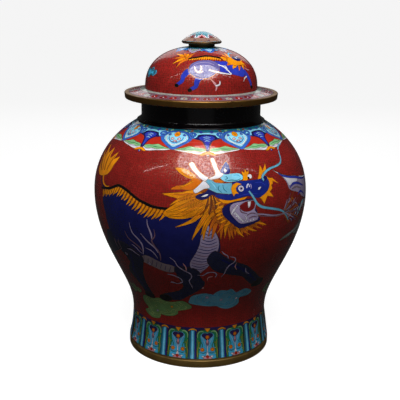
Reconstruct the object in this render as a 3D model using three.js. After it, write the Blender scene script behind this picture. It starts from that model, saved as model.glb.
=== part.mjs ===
// Cloisonne jar with a loose domed lid.
//
// A hollow enamelled copper body stands on a brass foot ring and carries a dark turned collar round its
// neck. The lid is a hollow enamelled dome with a sloping flange and a brass edge. It rests on the neck by
// a locating ring that reaches into the mouth, and is lifted by a mushroom knob on a turned brass stem.
//
// Millimetres, +Z up, origin at the middle of the underside. Every piece is turned about the Z axis: its
// outline is a list of points (radius, height) that runs anticlockwise, out along the underside, up the
// outside and back down the inside.

import * as THREE from 'three';

// Facets round each turned piece.
const bodySides = 56;
const knobSides = 36;

// The space left between two pieces that touch.
const gap = 0.3;

// Walls.
const bodyWall = 3;
const lidWall = 3;
const collarWall = 2.4;

// Brass foot ring.
const footRingHeight = 14.2;
const footRingRadius = 113.8;
const footRingWidth = 9;
const footRingBevel = 0.8;

// Body: a flared foot, a waist, a rise to the belly, and a shoulder that closes in to the neck.
const enamelFootInset = 0.4;
const waistInset = 6.4;
const bellyRadius = 166.6;
const footRise = 49.8;
const bellyRise = 191.2;
const shoulderRise = 114.5;

// How long each curve of the body holds its first or last direction, as shares of its rise.
const footFlareHold = 0.19;
const footFlareLean = 0.4;
const waistHoldBelow = 0.39;
const waistHoldAbove = 0.277;
const bellyHoldBelow = 0.437;
const shoulderHold = 0.648;

// Steps along each curve, outside and inside.
const footSteps = 3;
const riseSteps = 6;
const shoulderSteps = 6;

// Neck and its collar.
const collarRadius = 92;
const neckRise = 37.5;
const collarFootReach = 7;
const collarFootThickness = 1.3;
const collarFilletReach = 1.6;
const collarFilletRise = 4;

// Lid flange and dome.
const domeRadius = 86.4;
const domeRise = 63.4;
const domeFullness = 2.36;
const domeSteps = 7;
const flangeReach = 24.3;
const flangeDrop = 4.8;

// Brass band round the flange.
const bandHeight = 9.4;
const bandWidth = 6.9;
const bandUndercut = 0.9;
const bandBevel = 0.7;
const bandLedge = 4;

// Ring that locates the lid in the mouth.
const mouthClearance = 1;
const locatingWall = 2;
const locatingDepth = 12;
const locatingLipThickness = 2.8;
const locatingLipInset = 0.5;

// Knob.
const stemRadius = 19.9;
const stemRise = 4;
const stemCove = 1.5;
const rimReach = 10.6;
const rimUndercut = 2;
const rimEdgeRise = 2.9;
const rimBevel = 1;
const capInset = 1.1;
const capRise = 13.5;
const capCrownShare = 0.46;
const capSteps = 6;

// Colours and finishes.
const enamelRed = { color: 0x7e2419, roughness: 0.25, metalness: 0 };
const enamelTurquoise = { color: 0x2f8f9e, roughness: 0.25, metalness: 0 };
const brass = { color: 0x8a6528, roughness: 0.4, metalness: 1 };
const darkMetal = { color: 0x14110f, roughness: 0.3, metalness: 0.8 };

const point = (radius, height) => new THREE.Vector2(radius, height);

// Moves every point of an outline that runs up the outside of a wall to the inside of that wall.
function insideOf(outline, wall) {
  return outline.map((here, index) => {
    const before = outline[Math.max(index - 1, 0)];
    const after = outline[Math.min(index + 1, outline.length - 1)];
    const along = after.clone().sub(before).normalize();
    return point(here.x - along.y * wall, here.y + along.x * wall);
  });
}

// Turns an outline about Z into a closed solid. An outline off the axis is closed on itself.
function turned(outline, sides) {
  const onAxis = outline[0].x === 0 && outline.at(-1).x === 0;
  const points = onAxis ? outline : [...outline, outline[0]];
  return new THREE.LatheGeometry(points, sides).rotateX(Math.PI / 2);
}

function piece(name, outline, sides, finish) {
  const mesh = new THREE.Mesh(turned(outline, sides), new THREE.MeshStandardMaterial(finish));
  mesh.name = name;
  return mesh;
}

// Foot ring: a square-cut ring with its outer edges broken.
function footRing() {
  const inner = footRingRadius - footRingWidth;
  return piece('foot_ring', [
    point(inner, 0),
    point(footRingRadius - footRingBevel, 0),
    point(footRingRadius, footRingBevel),
    point(footRingRadius, footRingHeight - footRingBevel),
    point(footRingRadius - footRingBevel, footRingHeight),
    point(inner, footRingHeight),
  ], bodySides, brass);
}

// Body. The shoulder runs on straight under the collar's foot to the neck wall.
const bodyUnderside = footRingHeight + gap;
const enamelFootRadius = footRingRadius - enamelFootInset;
const waistRadius = footRingRadius - waistInset;
const waistHeight = bodyUnderside + footRise;
const bellyHeight = waistHeight + bellyRise;
const neckBaseHeight = bellyHeight + shoulderRise;
const neckTopHeight = neckBaseHeight + neckRise;
const neckRadius = collarRadius - collarWall - gap;
const mouthRadius = neckRadius - bodyWall;
const shoulderSlope = shoulderRise * (1 - shoulderHold) / (bellyRadius - collarRadius);
const shoulderLine = (radius) => neckBaseHeight - (radius - collarRadius) * shoulderSlope;

function bodyCurves() {
  const flareReach = footRise * footFlareHold;
  const foot = new THREE.CubicBezierCurve(
    point(enamelFootRadius, bodyUnderside),
    point(enamelFootRadius - flareReach * footFlareLean, bodyUnderside + flareReach),
    point(waistRadius, waistHeight - footRise * waistHoldBelow),
    point(waistRadius, waistHeight),
  );
  const rise = new THREE.CubicBezierCurve(
    point(waistRadius, waistHeight),
    point(waistRadius, waistHeight + bellyRise * waistHoldAbove),
    point(bellyRadius, bellyHeight - bellyRise * bellyHoldBelow),
    point(bellyRadius, bellyHeight),
  );
  const shoulder = new THREE.QuadraticBezierCurve(
    point(bellyRadius, bellyHeight),
    point(bellyRadius, bellyHeight + shoulderRise * shoulderHold),
    point(collarRadius, neckBaseHeight),
  );
  return [
    ...foot.getPoints(footSteps),
    ...rise.getPoints(riseSteps).slice(1),
    ...shoulder.getPoints(shoulderSteps).slice(1),
  ];
}

function jarBody() {
  const outside = [...bodyCurves(), point(neckRadius, shoulderLine(neckRadius))];
  const floorTop = bodyUnderside + bodyWall;
  const inside = insideOf(outside, bodyWall).filter((here) => here.y > floorTop + bodyWall && here.x > mouthRadius);
  const footInside = enamelFootRadius - bodyWall * (1 + footFlareLean);
  const neckInsideBase = shoulderLine(neckRadius) - bodyWall * (1 - shoulderSlope);
  return piece('jar_body', [
    point(0, bodyUnderside),
    ...outside,
    point(neckRadius, neckTopHeight),
    point(mouthRadius, neckTopHeight),
    point(mouthRadius, neckInsideBase),
    ...inside.reverse(),
    point(footInside, floorTop),
    point(0, floorTop),
  ], bodySides, enamelRed);
}

// Collar: a sleeve round the neck with a low foot that lies on the shoulder.
function neckCollar() {
  const inner = collarRadius - collarWall;
  const footRadius = collarRadius + collarFootReach;
  const footUnder = shoulderLine(footRadius) + gap;
  return piece('neck_collar', [
    point(inner, shoulderLine(inner) + gap),
    point(footRadius, footUnder),
    point(footRadius, footUnder + collarFootThickness),
    point(collarRadius + collarFilletReach, shoulderLine(collarRadius) + collarFootThickness),
    point(collarRadius, neckBaseHeight + collarFilletRise),
    point(collarRadius, neckTopHeight),
    point(inner, neckTopHeight),
  ], bodySides, darkMetal);
}

// Lid. The locating ring's lip rests on the neck's rim and carries the flange, which falls in a straight
// line from the dome's foot to the band.
const lidSeat = neckTopHeight + gap;
const lipOuter = collarRadius - locatingLipInset;
const flangeSlope = flangeDrop / flangeReach;
const flangeRadius = domeRadius + flangeReach;
const domeFootHeight = (
  lidSeat + locatingLipThickness + gap + lidWall + (lipOuter - domeRadius) * flangeSlope
);
const flangeTop = (radius) => domeFootHeight - (radius - domeRadius) * flangeSlope;
const flangeUnder = (radius) => flangeTop(radius) - lidWall;
const bandInner = flangeRadius + gap;
const domeTop = domeFootHeight + domeRise;

// A full dome: a superellipse, so its sides stand steeper and its crown lies flatter than a ball's.
function domeCurve(radius, rise, foot) {
  return Array.from({ length: domeSteps + 1 }, (_, step) => {
    const angle = (Math.PI / 2) * (step / domeSteps);
    const across = Math.cos(angle) ** (2 / domeFullness);
    const up = Math.sin(angle) ** (2 / domeFullness);
    return point(step === domeSteps ? 0 : radius * across, foot + rise * up);
  });
}

const domeHeight = (radius) => (
  domeFootHeight + domeRise * (1 - (radius / domeRadius) ** domeFullness) ** (1 / domeFullness)
);

function lidShell() {
  const innerFoot = flangeUnder(domeRadius - lidWall);
  const inside = domeCurve(domeRadius - lidWall, domeTop - lidWall - innerFoot, innerFoot);
  return piece('lid_shell', [
    ...inside.reverse(),
    point(flangeRadius, flangeUnder(flangeRadius)),
    point(flangeRadius, flangeTop(flangeRadius)),
    ...domeCurve(domeRadius, domeRise, domeFootHeight),
  ], bodySides, enamelRed);
}

// Band: it hangs below the flange's edge and carries it on a ledge.
function lidEdgeRing() {
  const top = flangeTop(bandInner);
  const bottom = top - bandHeight;
  const ledgeInner = bandInner - bandLedge;
  const bandOuter = bandInner + bandWidth;
  return piece('lid_edge_ring', [
    point(ledgeInner, bottom),
    point(bandOuter - bandUndercut - bandBevel, bottom),
    point(bandOuter - bandUndercut, bottom + bandBevel),
    point(bandOuter, top - 2 * bandBevel),
    point(bandOuter - bandBevel, top - bandBevel / 2),
    point(bandInner, top),
    point(bandInner, flangeUnder(bandInner) - gap),
    point(ledgeInner, flangeUnder(ledgeInner) - gap),
  ], bodySides, brass);
}

// Locating ring: its lip lies between the neck's rim and the flange, and its skirt reaches into the mouth.
function lidLocatingRing() {
  const skirtOuter = mouthRadius - mouthClearance;
  const skirtInner = skirtOuter - locatingWall;
  return piece('lid_locating_ring', [
    point(skirtInner, lidSeat - locatingDepth),
    point(skirtOuter, lidSeat - locatingDepth),
    point(skirtOuter, lidSeat),
    point(lipOuter, lidSeat),
    point(lipOuter, flangeUnder(lipOuter) - gap),
    point(skirtInner, flangeUnder(skirtInner) - gap),
  ], bodySides, brass);
}

// Knob stem and rim plate. The stem's underside follows the crown of the dome.
const rimRadius = stemRadius + rimReach;
const rimUnderside = domeTop + stemRise;
const rimTop = rimUnderside + rimEdgeRise + rimBevel;

function knobMount() {
  const crown = [0, 0.5, 1].map((share) => point(stemRadius * share, domeHeight(stemRadius * share) + gap));
  return piece('knob_mount', [
    ...crown,
    point(stemRadius, rimUnderside - stemCove),
    point(stemRadius + stemCove, rimUnderside),
    point(rimRadius - rimUndercut, rimUnderside),
    point(rimRadius, rimTop - 2 * rimBevel),
    point(rimRadius, rimTop - rimBevel),
    point(rimRadius - rimBevel, rimTop),
    point(0, rimTop),
  ], knobSides, brass);
}

// Knob cap: a low mushroom dome that stands inside the rim plate's edge.
function knobCap() {
  const base = rimTop + gap;
  const top = base + capRise;
  const capRadius = rimRadius - capInset;
  const crown = new THREE.QuadraticBezierCurve(
    point(capRadius, base),
    point(capRadius * capCrownShare, top),
    point(0, top),
  );
  return piece('knob_cap', [point(0, base), ...crown.getPoints(capSteps)], knobSides, enamelTurquoise);
}

const vessel = new THREE.Group();
vessel.add(footRing(), jarBody(), neckCollar());

const lid = new THREE.Group();
lid.add(lidShell(), lidEdgeRing(), lidLocatingRing(), knobMount(), knobCap());

const jar = new THREE.Group();
jar.add(vessel, lid);

export default jar;
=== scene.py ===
"""A cloisonne lidded jar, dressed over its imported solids: enamel pictures set in gilt wire, aged brass fittings."""
import logging
import math
import random
from dataclasses import dataclass, field
from enum import Enum
from typing import Any, Optional, Sequence

import bmesh
import bpy
import numpy as np
from mathutils import Matrix, Vector
from mathutils.geometry import delaunay_2d_cdt
from mathutils.kdtree import KDTree


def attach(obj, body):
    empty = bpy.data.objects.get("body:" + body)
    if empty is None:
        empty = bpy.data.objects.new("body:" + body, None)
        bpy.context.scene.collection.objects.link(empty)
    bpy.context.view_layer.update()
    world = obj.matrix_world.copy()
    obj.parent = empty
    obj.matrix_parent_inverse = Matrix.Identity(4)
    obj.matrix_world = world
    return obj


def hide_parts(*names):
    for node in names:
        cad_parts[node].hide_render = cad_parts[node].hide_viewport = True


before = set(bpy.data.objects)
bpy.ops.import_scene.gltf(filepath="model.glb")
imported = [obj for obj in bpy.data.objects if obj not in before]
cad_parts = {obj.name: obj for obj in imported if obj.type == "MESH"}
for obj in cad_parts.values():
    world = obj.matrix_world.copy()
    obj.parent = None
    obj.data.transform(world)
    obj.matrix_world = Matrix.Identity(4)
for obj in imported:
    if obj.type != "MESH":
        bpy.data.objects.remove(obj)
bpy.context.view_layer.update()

log = logging.getLogger("jar")
MM = 0.001
FULL_TURN = 360.0
WIRE = 0.55
SKIN_DEPTH = 0.6
ENAMEL_GAP = 0.08

Point = tuple[float, float]
Points = Sequence[Point]


class Glaze(Enum):
    """The enamel colours and the wire, as sRGB hexadecimal values."""

    BRICK = "901f1c"
    DARK_RED = "741618"
    SCARLET = "b0281a"
    ORANGE = "cf6a16"
    YELLOW = "ea900e"
    AMBER = "8f4410"
    RUST = "a4561a"
    BROWN = "57301f"
    TAUPE = "8c6c60"
    NAVY = "171a58"
    DEEP = "20233f"
    BLUE = "17267e"
    ROYAL = "2b38ac"
    MID_BLUE = "2f60b8"
    PALE_BLUE = "8fbee4"
    PERIWINKLE = "7c7ab8"
    LILAC = "a294b4"
    HAZE = "625c94"
    MAUVE = "775769"
    PINK = "c98a90"
    WHITE = "dcdae2"
    GREY = "8b938c"
    DUSK = "85757c"
    TEAL = "1c6a80"
    TURQUOISE = "3fa8d2"
    AQUA = "86d0ea"
    CREST = "66acc8"
    GREEN = "1f7a48"
    LEAF = "84b880"
    OLIVE = "7d8a34"
    CLOUD_GREEN = "648852"
    CLOUD_EDGE = "8fae68"
    CLOUD_BLUE = "5c9cb4"
    CAP_BLUE = "5a9fb2"
    BLACK = "0d0d12"
    WIRE = "9a6f34"

    @property
    def linear(self) -> tuple[float, float, float, float]:
        """The colour in linear light, opaque."""
        parts = [int(self.value[i:i + 2], 16) / 255 for i in (0, 2, 4)]
        made = [c / 12.92 if c <= 0.04045 else ((c + 0.055) / 1.055) ** 2.4 for c in parts]
        return (made[0], made[1], made[2], 1.0)


def column_outline(node: str) -> list[Point]:
    """Walks the turned outline of a CAD node.

    Args:
        node: The node's name.

    Returns:
        Its outline as radius and height in millimetres, from its lowest end.
    """
    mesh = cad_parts[node].data
    spots = np.array([v.co for v in mesh.vertices]) / MM
    keys, inverse = np.unique(np.round(spots, 2), axis=0, return_inverse=True)
    inverse = inverse.ravel()
    radius = np.hypot(keys[:, 0], keys[:, 1])
    angle = np.arctan2(keys[:, 1], keys[:, 0])
    chosen = angle[int(np.argmax(radius))]
    aside = radius * np.abs(np.sin(angle - chosen))
    column = ((aside < 0.03) & (np.cos(angle - chosen) > 0)) | (radius < 0.01)
    near: dict[int, set[int]] = {}
    for edge in mesh.edges:
        a, b = (int(inverse[i]) for i in edge.vertices)
        if a != b and column[a] and column[b]:
            near.setdefault(a, set()).add(b)
            near.setdefault(b, set()).add(a)
    start = min(near, key=lambda k: (len(near[k]) > 1, keys[k, 2], radius[k]))
    walk = [start]
    while True:
        following = [k for k in near[walk[-1]] if k not in walk]
        if not following:
            break
        walk.append(min(following, key=lambda k: radius[k]))
    return [(float(radius[k]), float(keys[k, 2])) for k in walk]


def between(points: Points, first: Point, last: Point) -> list[Point]:
    """The stretch of an outline from the point nearest first to the point nearest last."""
    spots = np.array(points)
    a = int(np.argmin(np.hypot(*(spots - first).T)))
    b = int(np.argmin(np.hypot(*(spots - last).T)))
    return [tuple(p) for p in spots[a:b + 1]] if a <= b else [tuple(p) for p in spots[b:a + 1][::-1]]


def spline(values: np.ndarray, lengths: np.ndarray, at: np.ndarray) -> np.ndarray:
    """Draws a natural cubic curve through the values.

    Args:
        values: One row for each knot.
        lengths: The knots' places along the curve.
        at: Where the curve is wanted.

    Returns:
        One row for each place.
    """
    step = np.diff(lengths)
    count = len(values)
    system, right = np.eye(count), np.zeros_like(values)
    for i in range(1, count - 1):
        system[i, i - 1:i + 2] = step[i - 1], 2 * (step[i - 1] + step[i]), step[i]
        right[i] = 6 * ((values[i + 1] - values[i]) / step[i] - (values[i] - values[i - 1]) / step[i - 1])
    bend = np.linalg.solve(system, right)
    i = np.clip(np.searchsorted(lengths, at) - 1, 0, count - 2)
    before, after = (at - lengths[i])[:, None], (lengths[i + 1] - at)[:, None]
    width = step[i][:, None]
    return (
        (bend[i] * after ** 3 + bend[i + 1] * before ** 3) / (6 * width)
        + (values[i] / width - bend[i] * width / 6) * after
        + (values[i + 1] / width - bend[i + 1] * width / 6) * before
    )


@dataclass
class TurnedLine:
    """A smooth turned line through CAD outline points, walked by its length in millimetres.

    Args:
        knots: Radius and height of each point.
        meets_axis: Whether the last knot is a pole, where the line is level.
    """

    knots: Points
    meets_axis: bool = False

    def __post_init__(self) -> None:
        """Makes the dense table that the other methods read."""
        knots = np.array(self.knots, float)
        last = len(knots) - 1
        if self.meets_axis:
            knots = np.vstack([knots, [-knots[-2][0], knots[-2][1]]])
        lengths = np.concatenate([[0], np.cumsum(np.hypot(*np.diff(knots, axis=0).T))])
        dense = spline(knots, lengths, np.linspace(0, lengths[last], 900))
        steps = np.hypot(*np.diff(dense, axis=0).T)
        self.walk = np.concatenate([[0], np.cumsum(steps)])
        self.total = float(self.walk[-1])
        slope = np.gradient(dense, self.walk, axis=0)
        normal = np.stack([slope[:, 1], -slope[:, 0]], axis=1)
        self.normal = normal / np.linalg.norm(normal, axis=1)[:, None]
        self.dense = dense

    def radius(self, s: Any) -> Any:
        """Radius at a length along the line."""
        return np.interp(s, self.walk, self.dense[:, 0])

    def per_degree(self, s: Any) -> Any:
        """Millimetres that one degree takes round the jar, never less than a small share."""
        return np.maximum(self.radius(s), 1.5) * math.pi / 180

    def place(self, theta: np.ndarray, s: np.ndarray, depth: float = 0.0) -> tuple[np.ndarray, np.ndarray]:
        """Puts flat picture points on the turned surface.

        Args:
            theta: Degrees round the jar, 0 at its front and positive to the right.
            s: Millimetres along the line.
            depth: How far under the surface, in millimetres.

        Returns:
            The points in metres, and their outward normals.
        """
        radius, height = self.radius(s), np.interp(s, self.walk, self.dense[:, 1])
        out, up = (np.interp(s, self.walk, self.normal[:, i]) for i in (0, 1))
        size = np.hypot(out, up)
        out, up = out / size, up / size
        radius, height = np.maximum(radius - out * depth, 0), height - up * depth
        turn = np.radians(theta)
        spots = np.stack([radius * np.sin(turn), -radius * np.cos(turn), height], axis=1) * MM
        normals = np.stack([out * np.sin(turn), -out * np.cos(turn), up], axis=1)
        return spots, normals

    def stations(self, count: int, depth: float = 0.0) -> list[Point]:
        """Evenly spaced radius and height pairs, set back by a depth."""
        s = np.linspace(0, self.total, count)
        spots, _ = self.place(np.full(count, 90.0), s, depth)
        return [(float(x) / MM, float(z) / MM) for x, _, z in spots]


def rounded(points: Points, per: int = 3, closed: bool = True) -> np.ndarray:
    """A smooth line through points.

    Args:
        points: The points that it passes.
        per: How many pieces each span is cut into.
        closed: Whether it comes back to its start.

    Returns:
        The line's points.
    """
    p = np.array(points, float)
    if per <= 1:
        return p
    if closed:
        ring = np.vstack([p[-1], p, p[:2]])
    else:
        ring = np.vstack([2 * p[0] - p[1], p, 2 * p[-1] - p[-2]])
    made = []
    for i in range(1, len(ring) - 2):
        a, b, c, d = ring[i - 1:i + 3]
        for t in np.arange(per) / per:
            made.append(0.5 * (2 * b + (c - a) * t + (2 * a - 5 * b + 4 * c - d) * t ** 2
                               + (3 * b - a - 3 * c + d) * t ** 3))
    if not closed:
        made.append(p[-1])
    return np.array(made)


def signed_area(p: np.ndarray) -> float:
    """Area of a flat polygon, positive when it runs anticlockwise."""
    x, y = p.T
    return float(0.5 * np.sum(x * np.roll(y, -1) - np.roll(x, -1) * y))


def crosses_itself(p: np.ndarray) -> bool:
    """Whether any two sides of a flat polygon that don't touch cross."""
    q = np.roll(p, -1, axis=0)
    d = q - p

    def side(a: np.ndarray, b: np.ndarray) -> np.ndarray:
        """Which side of line a to b each point of the polygon lies on."""
        return np.sign((b - a)[:, None, 0] * (p[None, :, 1] - a[:, None, 1])
                       - (b - a)[:, None, 1] * (p[None, :, 0] - a[:, None, 0]))

    one = side(p, q)
    two = np.roll(one, -1, axis=1)
    cut = (one * two < 0) & (one * two < 0).T
    return bool(cut.any()) and len(d) > 3


@dataclass
class Drawing:
    """A flat picture in degrees round and millimetres up a turned line, made of cells bounded by wire.

    Args:
        line: The turned line that the picture will lie on.
        low: Lowest place of any cell.
        high: Highest place of any cell.
    """

    line: TurnedLine
    low: float
    high: float
    cells: list[tuple[np.ndarray, Glaze]] = field(default_factory=list)
    shift: float = 0.0
    mirrored: bool = False

    def _flat(self, points: Any) -> np.ndarray:
        """Points as an array, moved round by the current shift."""
        p = np.array(points, float)
        if self.mirrored:
            p = p * [-1, 1]
        return p + [self.shift, 0]

    def _keep(self, p: np.ndarray, glaze: Glaze) -> None:
        """Adds one simple polygon, held inside the picture."""
        p = p.copy()
        p[:, 1] = np.clip(p[:, 1], self.low + 0.3, self.high - 0.3)
        if signed_area(p) > 1e-4:
            self.cells.append((p, glaze))

    def _normals(self, p: np.ndarray, closed: bool) -> np.ndarray:
        """Unit offsets to the right of a line, in degrees and millimetres."""
        scale = np.stack([self.line.per_degree(p[:, 1]), np.ones(len(p))], axis=1)
        real = p * scale
        ahead = np.roll(real, -1, axis=0) - real
        back = real - np.roll(real, 1, axis=0)
        if not closed:
            ahead[-1], back[0] = back[-1], ahead[0]
        ahead = ahead / np.maximum(np.linalg.norm(ahead, axis=1), 1e-9)[:, None]
        back = back / np.maximum(np.linalg.norm(back, axis=1), 1e-9)[:, None]
        along = ahead + back
        along = along / np.maximum(np.linalg.norm(along, axis=1), 0.35)[:, None]
        reach = 1 / np.clip(np.sum(along * ahead, axis=1), 0.6, 1)
        return np.stack([along[:, 1], -along[:, 0]], axis=1) * reach[:, None] / scale

    def _strip(self, one: np.ndarray, two: np.ndarray, glaze: Glaze, closed: bool) -> None:
        """Adds a row of four-sided cells between two lines."""
        for i in range(len(one) - (0 if closed else 1)):
            j = (i + 1) % len(one)
            quad = np.array([one[i], two[i], two[j], one[j]])
            halves = signed_area(quad[[0, 1, 2]]), signed_area(quad[[0, 2, 3]])
            if halves[0] < -1e-6 and halves[1] < -1e-6:
                quad, halves = quad[::-1], (1.0, 1.0)
            if min(halves) > 1e-6:
                self._keep(quad, glaze)

    def _outlined(self, inner: np.ndarray, outer: np.ndarray) -> None:
        """Adds the wire round a cell, as one larger cell behind it where that is simple."""
        if signed_area(outer) > signed_area(inner) and not crosses_itself(outer):
            self._keep(outer, Glaze.WIRE)
        else:
            self._strip(inner, outer, Glaze.WIRE, True)

    def _band(self, left: np.ndarray, right: np.ndarray, glaze: Glaze) -> None:
        """Adds a band between two lines, as one cell where that is simple."""
        whole = np.vstack([right, left[::-1]])
        whole = whole if signed_area(whole) > 0 else whole[::-1]
        if crosses_itself(whole):
            self._strip(left, right, glaze, False)
        else:
            self._keep(whole, glaze)

    def blob(self, points: Points, glaze: Glaze, per: int = 3, wire: float = WIRE) -> None:
        """Adds a closed cell with wire round it.

        Args:
            points: The cell's outline.
            glaze: Its colour.
            per: Smoothness, with 1 for straight sides.
            wire: Width of the wire, or 0 for none.
        """
        p = self._flat(rounded(points, per))
        if signed_area(p) < 0:
            p = p[::-1]
        if crosses_itself(p):
            log.info("a cell crosses itself near %.0f, %.0f", *p.mean(axis=0))
            p = self._flat(points)
            p = p[::-1] if signed_area(p) < 0 else p
            if crosses_itself(p):
                return
        if wire:
            self._outlined(p, p + self._normals(p, True) * wire)
        self._keep(p, glaze)

    def stroke(self, points: Points, widths: Sequence[float], glaze: Glaze, per: int = 3,
               wire: float = WIRE) -> None:
        """Adds a band of changing width along a line.

        Args:
            points: The middle of the band.
            widths: Its full width in millimetres at evenly spread places.
            glaze: Its colour.
            per: Smoothness.
            wire: Width of the wire on both sides, or 0 for none.
        """
        p = self._flat(rounded(points, per, closed=False))
        wide = np.interp(np.linspace(0, 1, len(p)), np.linspace(0, 1, len(widths)), widths) / 2
        side = self._normals(p, False)
        if wire:
            outer = side * (wide + wire)[:, None]
            self._band(p - outer, p + outer, Glaze.WIRE)
        inner = side * wide[:, None]
        self._band(p - inner, p + inner, glaze)

    def dot(self, theta: float, s: float, radius: float, glaze: Glaze, wire: float = WIRE, sides: int = 10,
            tall: float = 1.0) -> None:
        """Adds a round cell of a radius in millimetres."""
        turn = np.arange(sides) * 2 * math.pi / sides
        wide = radius / self.line.per_degree(s)
        ring = np.stack([theta + np.cos(turn) * wide, s + np.sin(turn) * radius * tall], axis=1)
        self.blob([tuple(p) for p in ring], glaze, 1, wire)

    def curl(self, theta: float, s: float, radius: float, turns: float, start: float, glaze: Glaze,
             width: float = 0.6, hand: int = 1, wire: float = 0.0, core: float = 0.2) -> None:
        """Adds a spiral that winds in from a start angle.

        Args:
            theta: Degrees of its centre.
            s: Millimetres of its centre.
            radius: Outer radius in millimetres.
            turns: How far it winds.
            start: The angle of its outer end, in degrees from the right.
            glaze: Its colour.
            width: Width of its line in millimetres.
            hand: 1 winds anticlockwise and -1 clockwise.
            wire: Width of a wire on both sides.
            core: The inner radius as a share of the outer.
        """
        count = max(5, int(turns * 8) + 1)
        t = np.linspace(0, 1, count)
        turn = math.radians(start) + hand * t * turns * 2 * math.pi
        reach = radius * (1 - (1 - core) * t)
        scale = float(self.line.per_degree(s))
        path = np.stack([theta + reach * np.cos(turn) / scale, s + reach * np.sin(turn)], axis=1)
        self.stroke([tuple(p) for p in path], (width, width, width * 0.8), glaze, 1, wire)

    def leaf(self, base: Point, tip: Point, width: float, glaze: Glaze, bow: float = 0.0,
             wire: float = WIRE) -> None:
        """Adds a pointed leaf or flame.

        Args:
            base: Its rounded end.
            tip: Its pointed end.
            width: Its greatest width in millimetres.
            glaze: Its colour.
            bow: How far it bends sideways, in millimetres.
            wire: Width of the wire.
        """
        scale = float(self.line.per_degree((base[1] + tip[1]) / 2))
        a, b = np.array(base) * [scale, 1], np.array(tip) * [scale, 1]
        along = b - a
        side = np.array([-along[1], along[0]]) / max(float(np.hypot(*along)), 1e-6)
        shape = ((0, 0), (0.12, 0.7), (0.35, 1), (0.6, 0.78), (0.82, 0.36), (1, 0))
        right = [a + along * t + side * (w * width / 2 + bow * math.sin(t * math.pi)) for t, w in shape]
        left = [a + along * t + side * (bow * math.sin(t * math.pi) - w * width / 2) for t, w in shape[-2:0:-1]]
        self.blob([(p[0] / scale, p[1]) for p in right + left], glaze, 1, wire)

    def ring(self, s: float, width: float, glaze: Glaze, wire: float = WIRE) -> None:
        """Adds a band all the way round."""
        kept, self.shift = self.shift, 0.0
        turn = np.linspace(-180, 180, 61)
        for half, paint in ((width / 2 + wire, Glaze.WIRE), (width / 2, glaze)):
            low = np.stack([turn, np.full(61, s - half)], axis=1)
            high = np.stack([turn, np.full(61, s + half)], axis=1)
            if half > 0:
                self._strip(high, low, paint, False)
        self.shift = kept


def new_mesh_object(name: str, mesh: bpy.types.Mesh) -> bpy.types.Object:
    """Links a mesh to the scene as an object at the origin."""
    obj = bpy.data.objects.new(name, mesh)
    bpy.context.scene.collection.objects.link(obj)
    return obj


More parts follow.
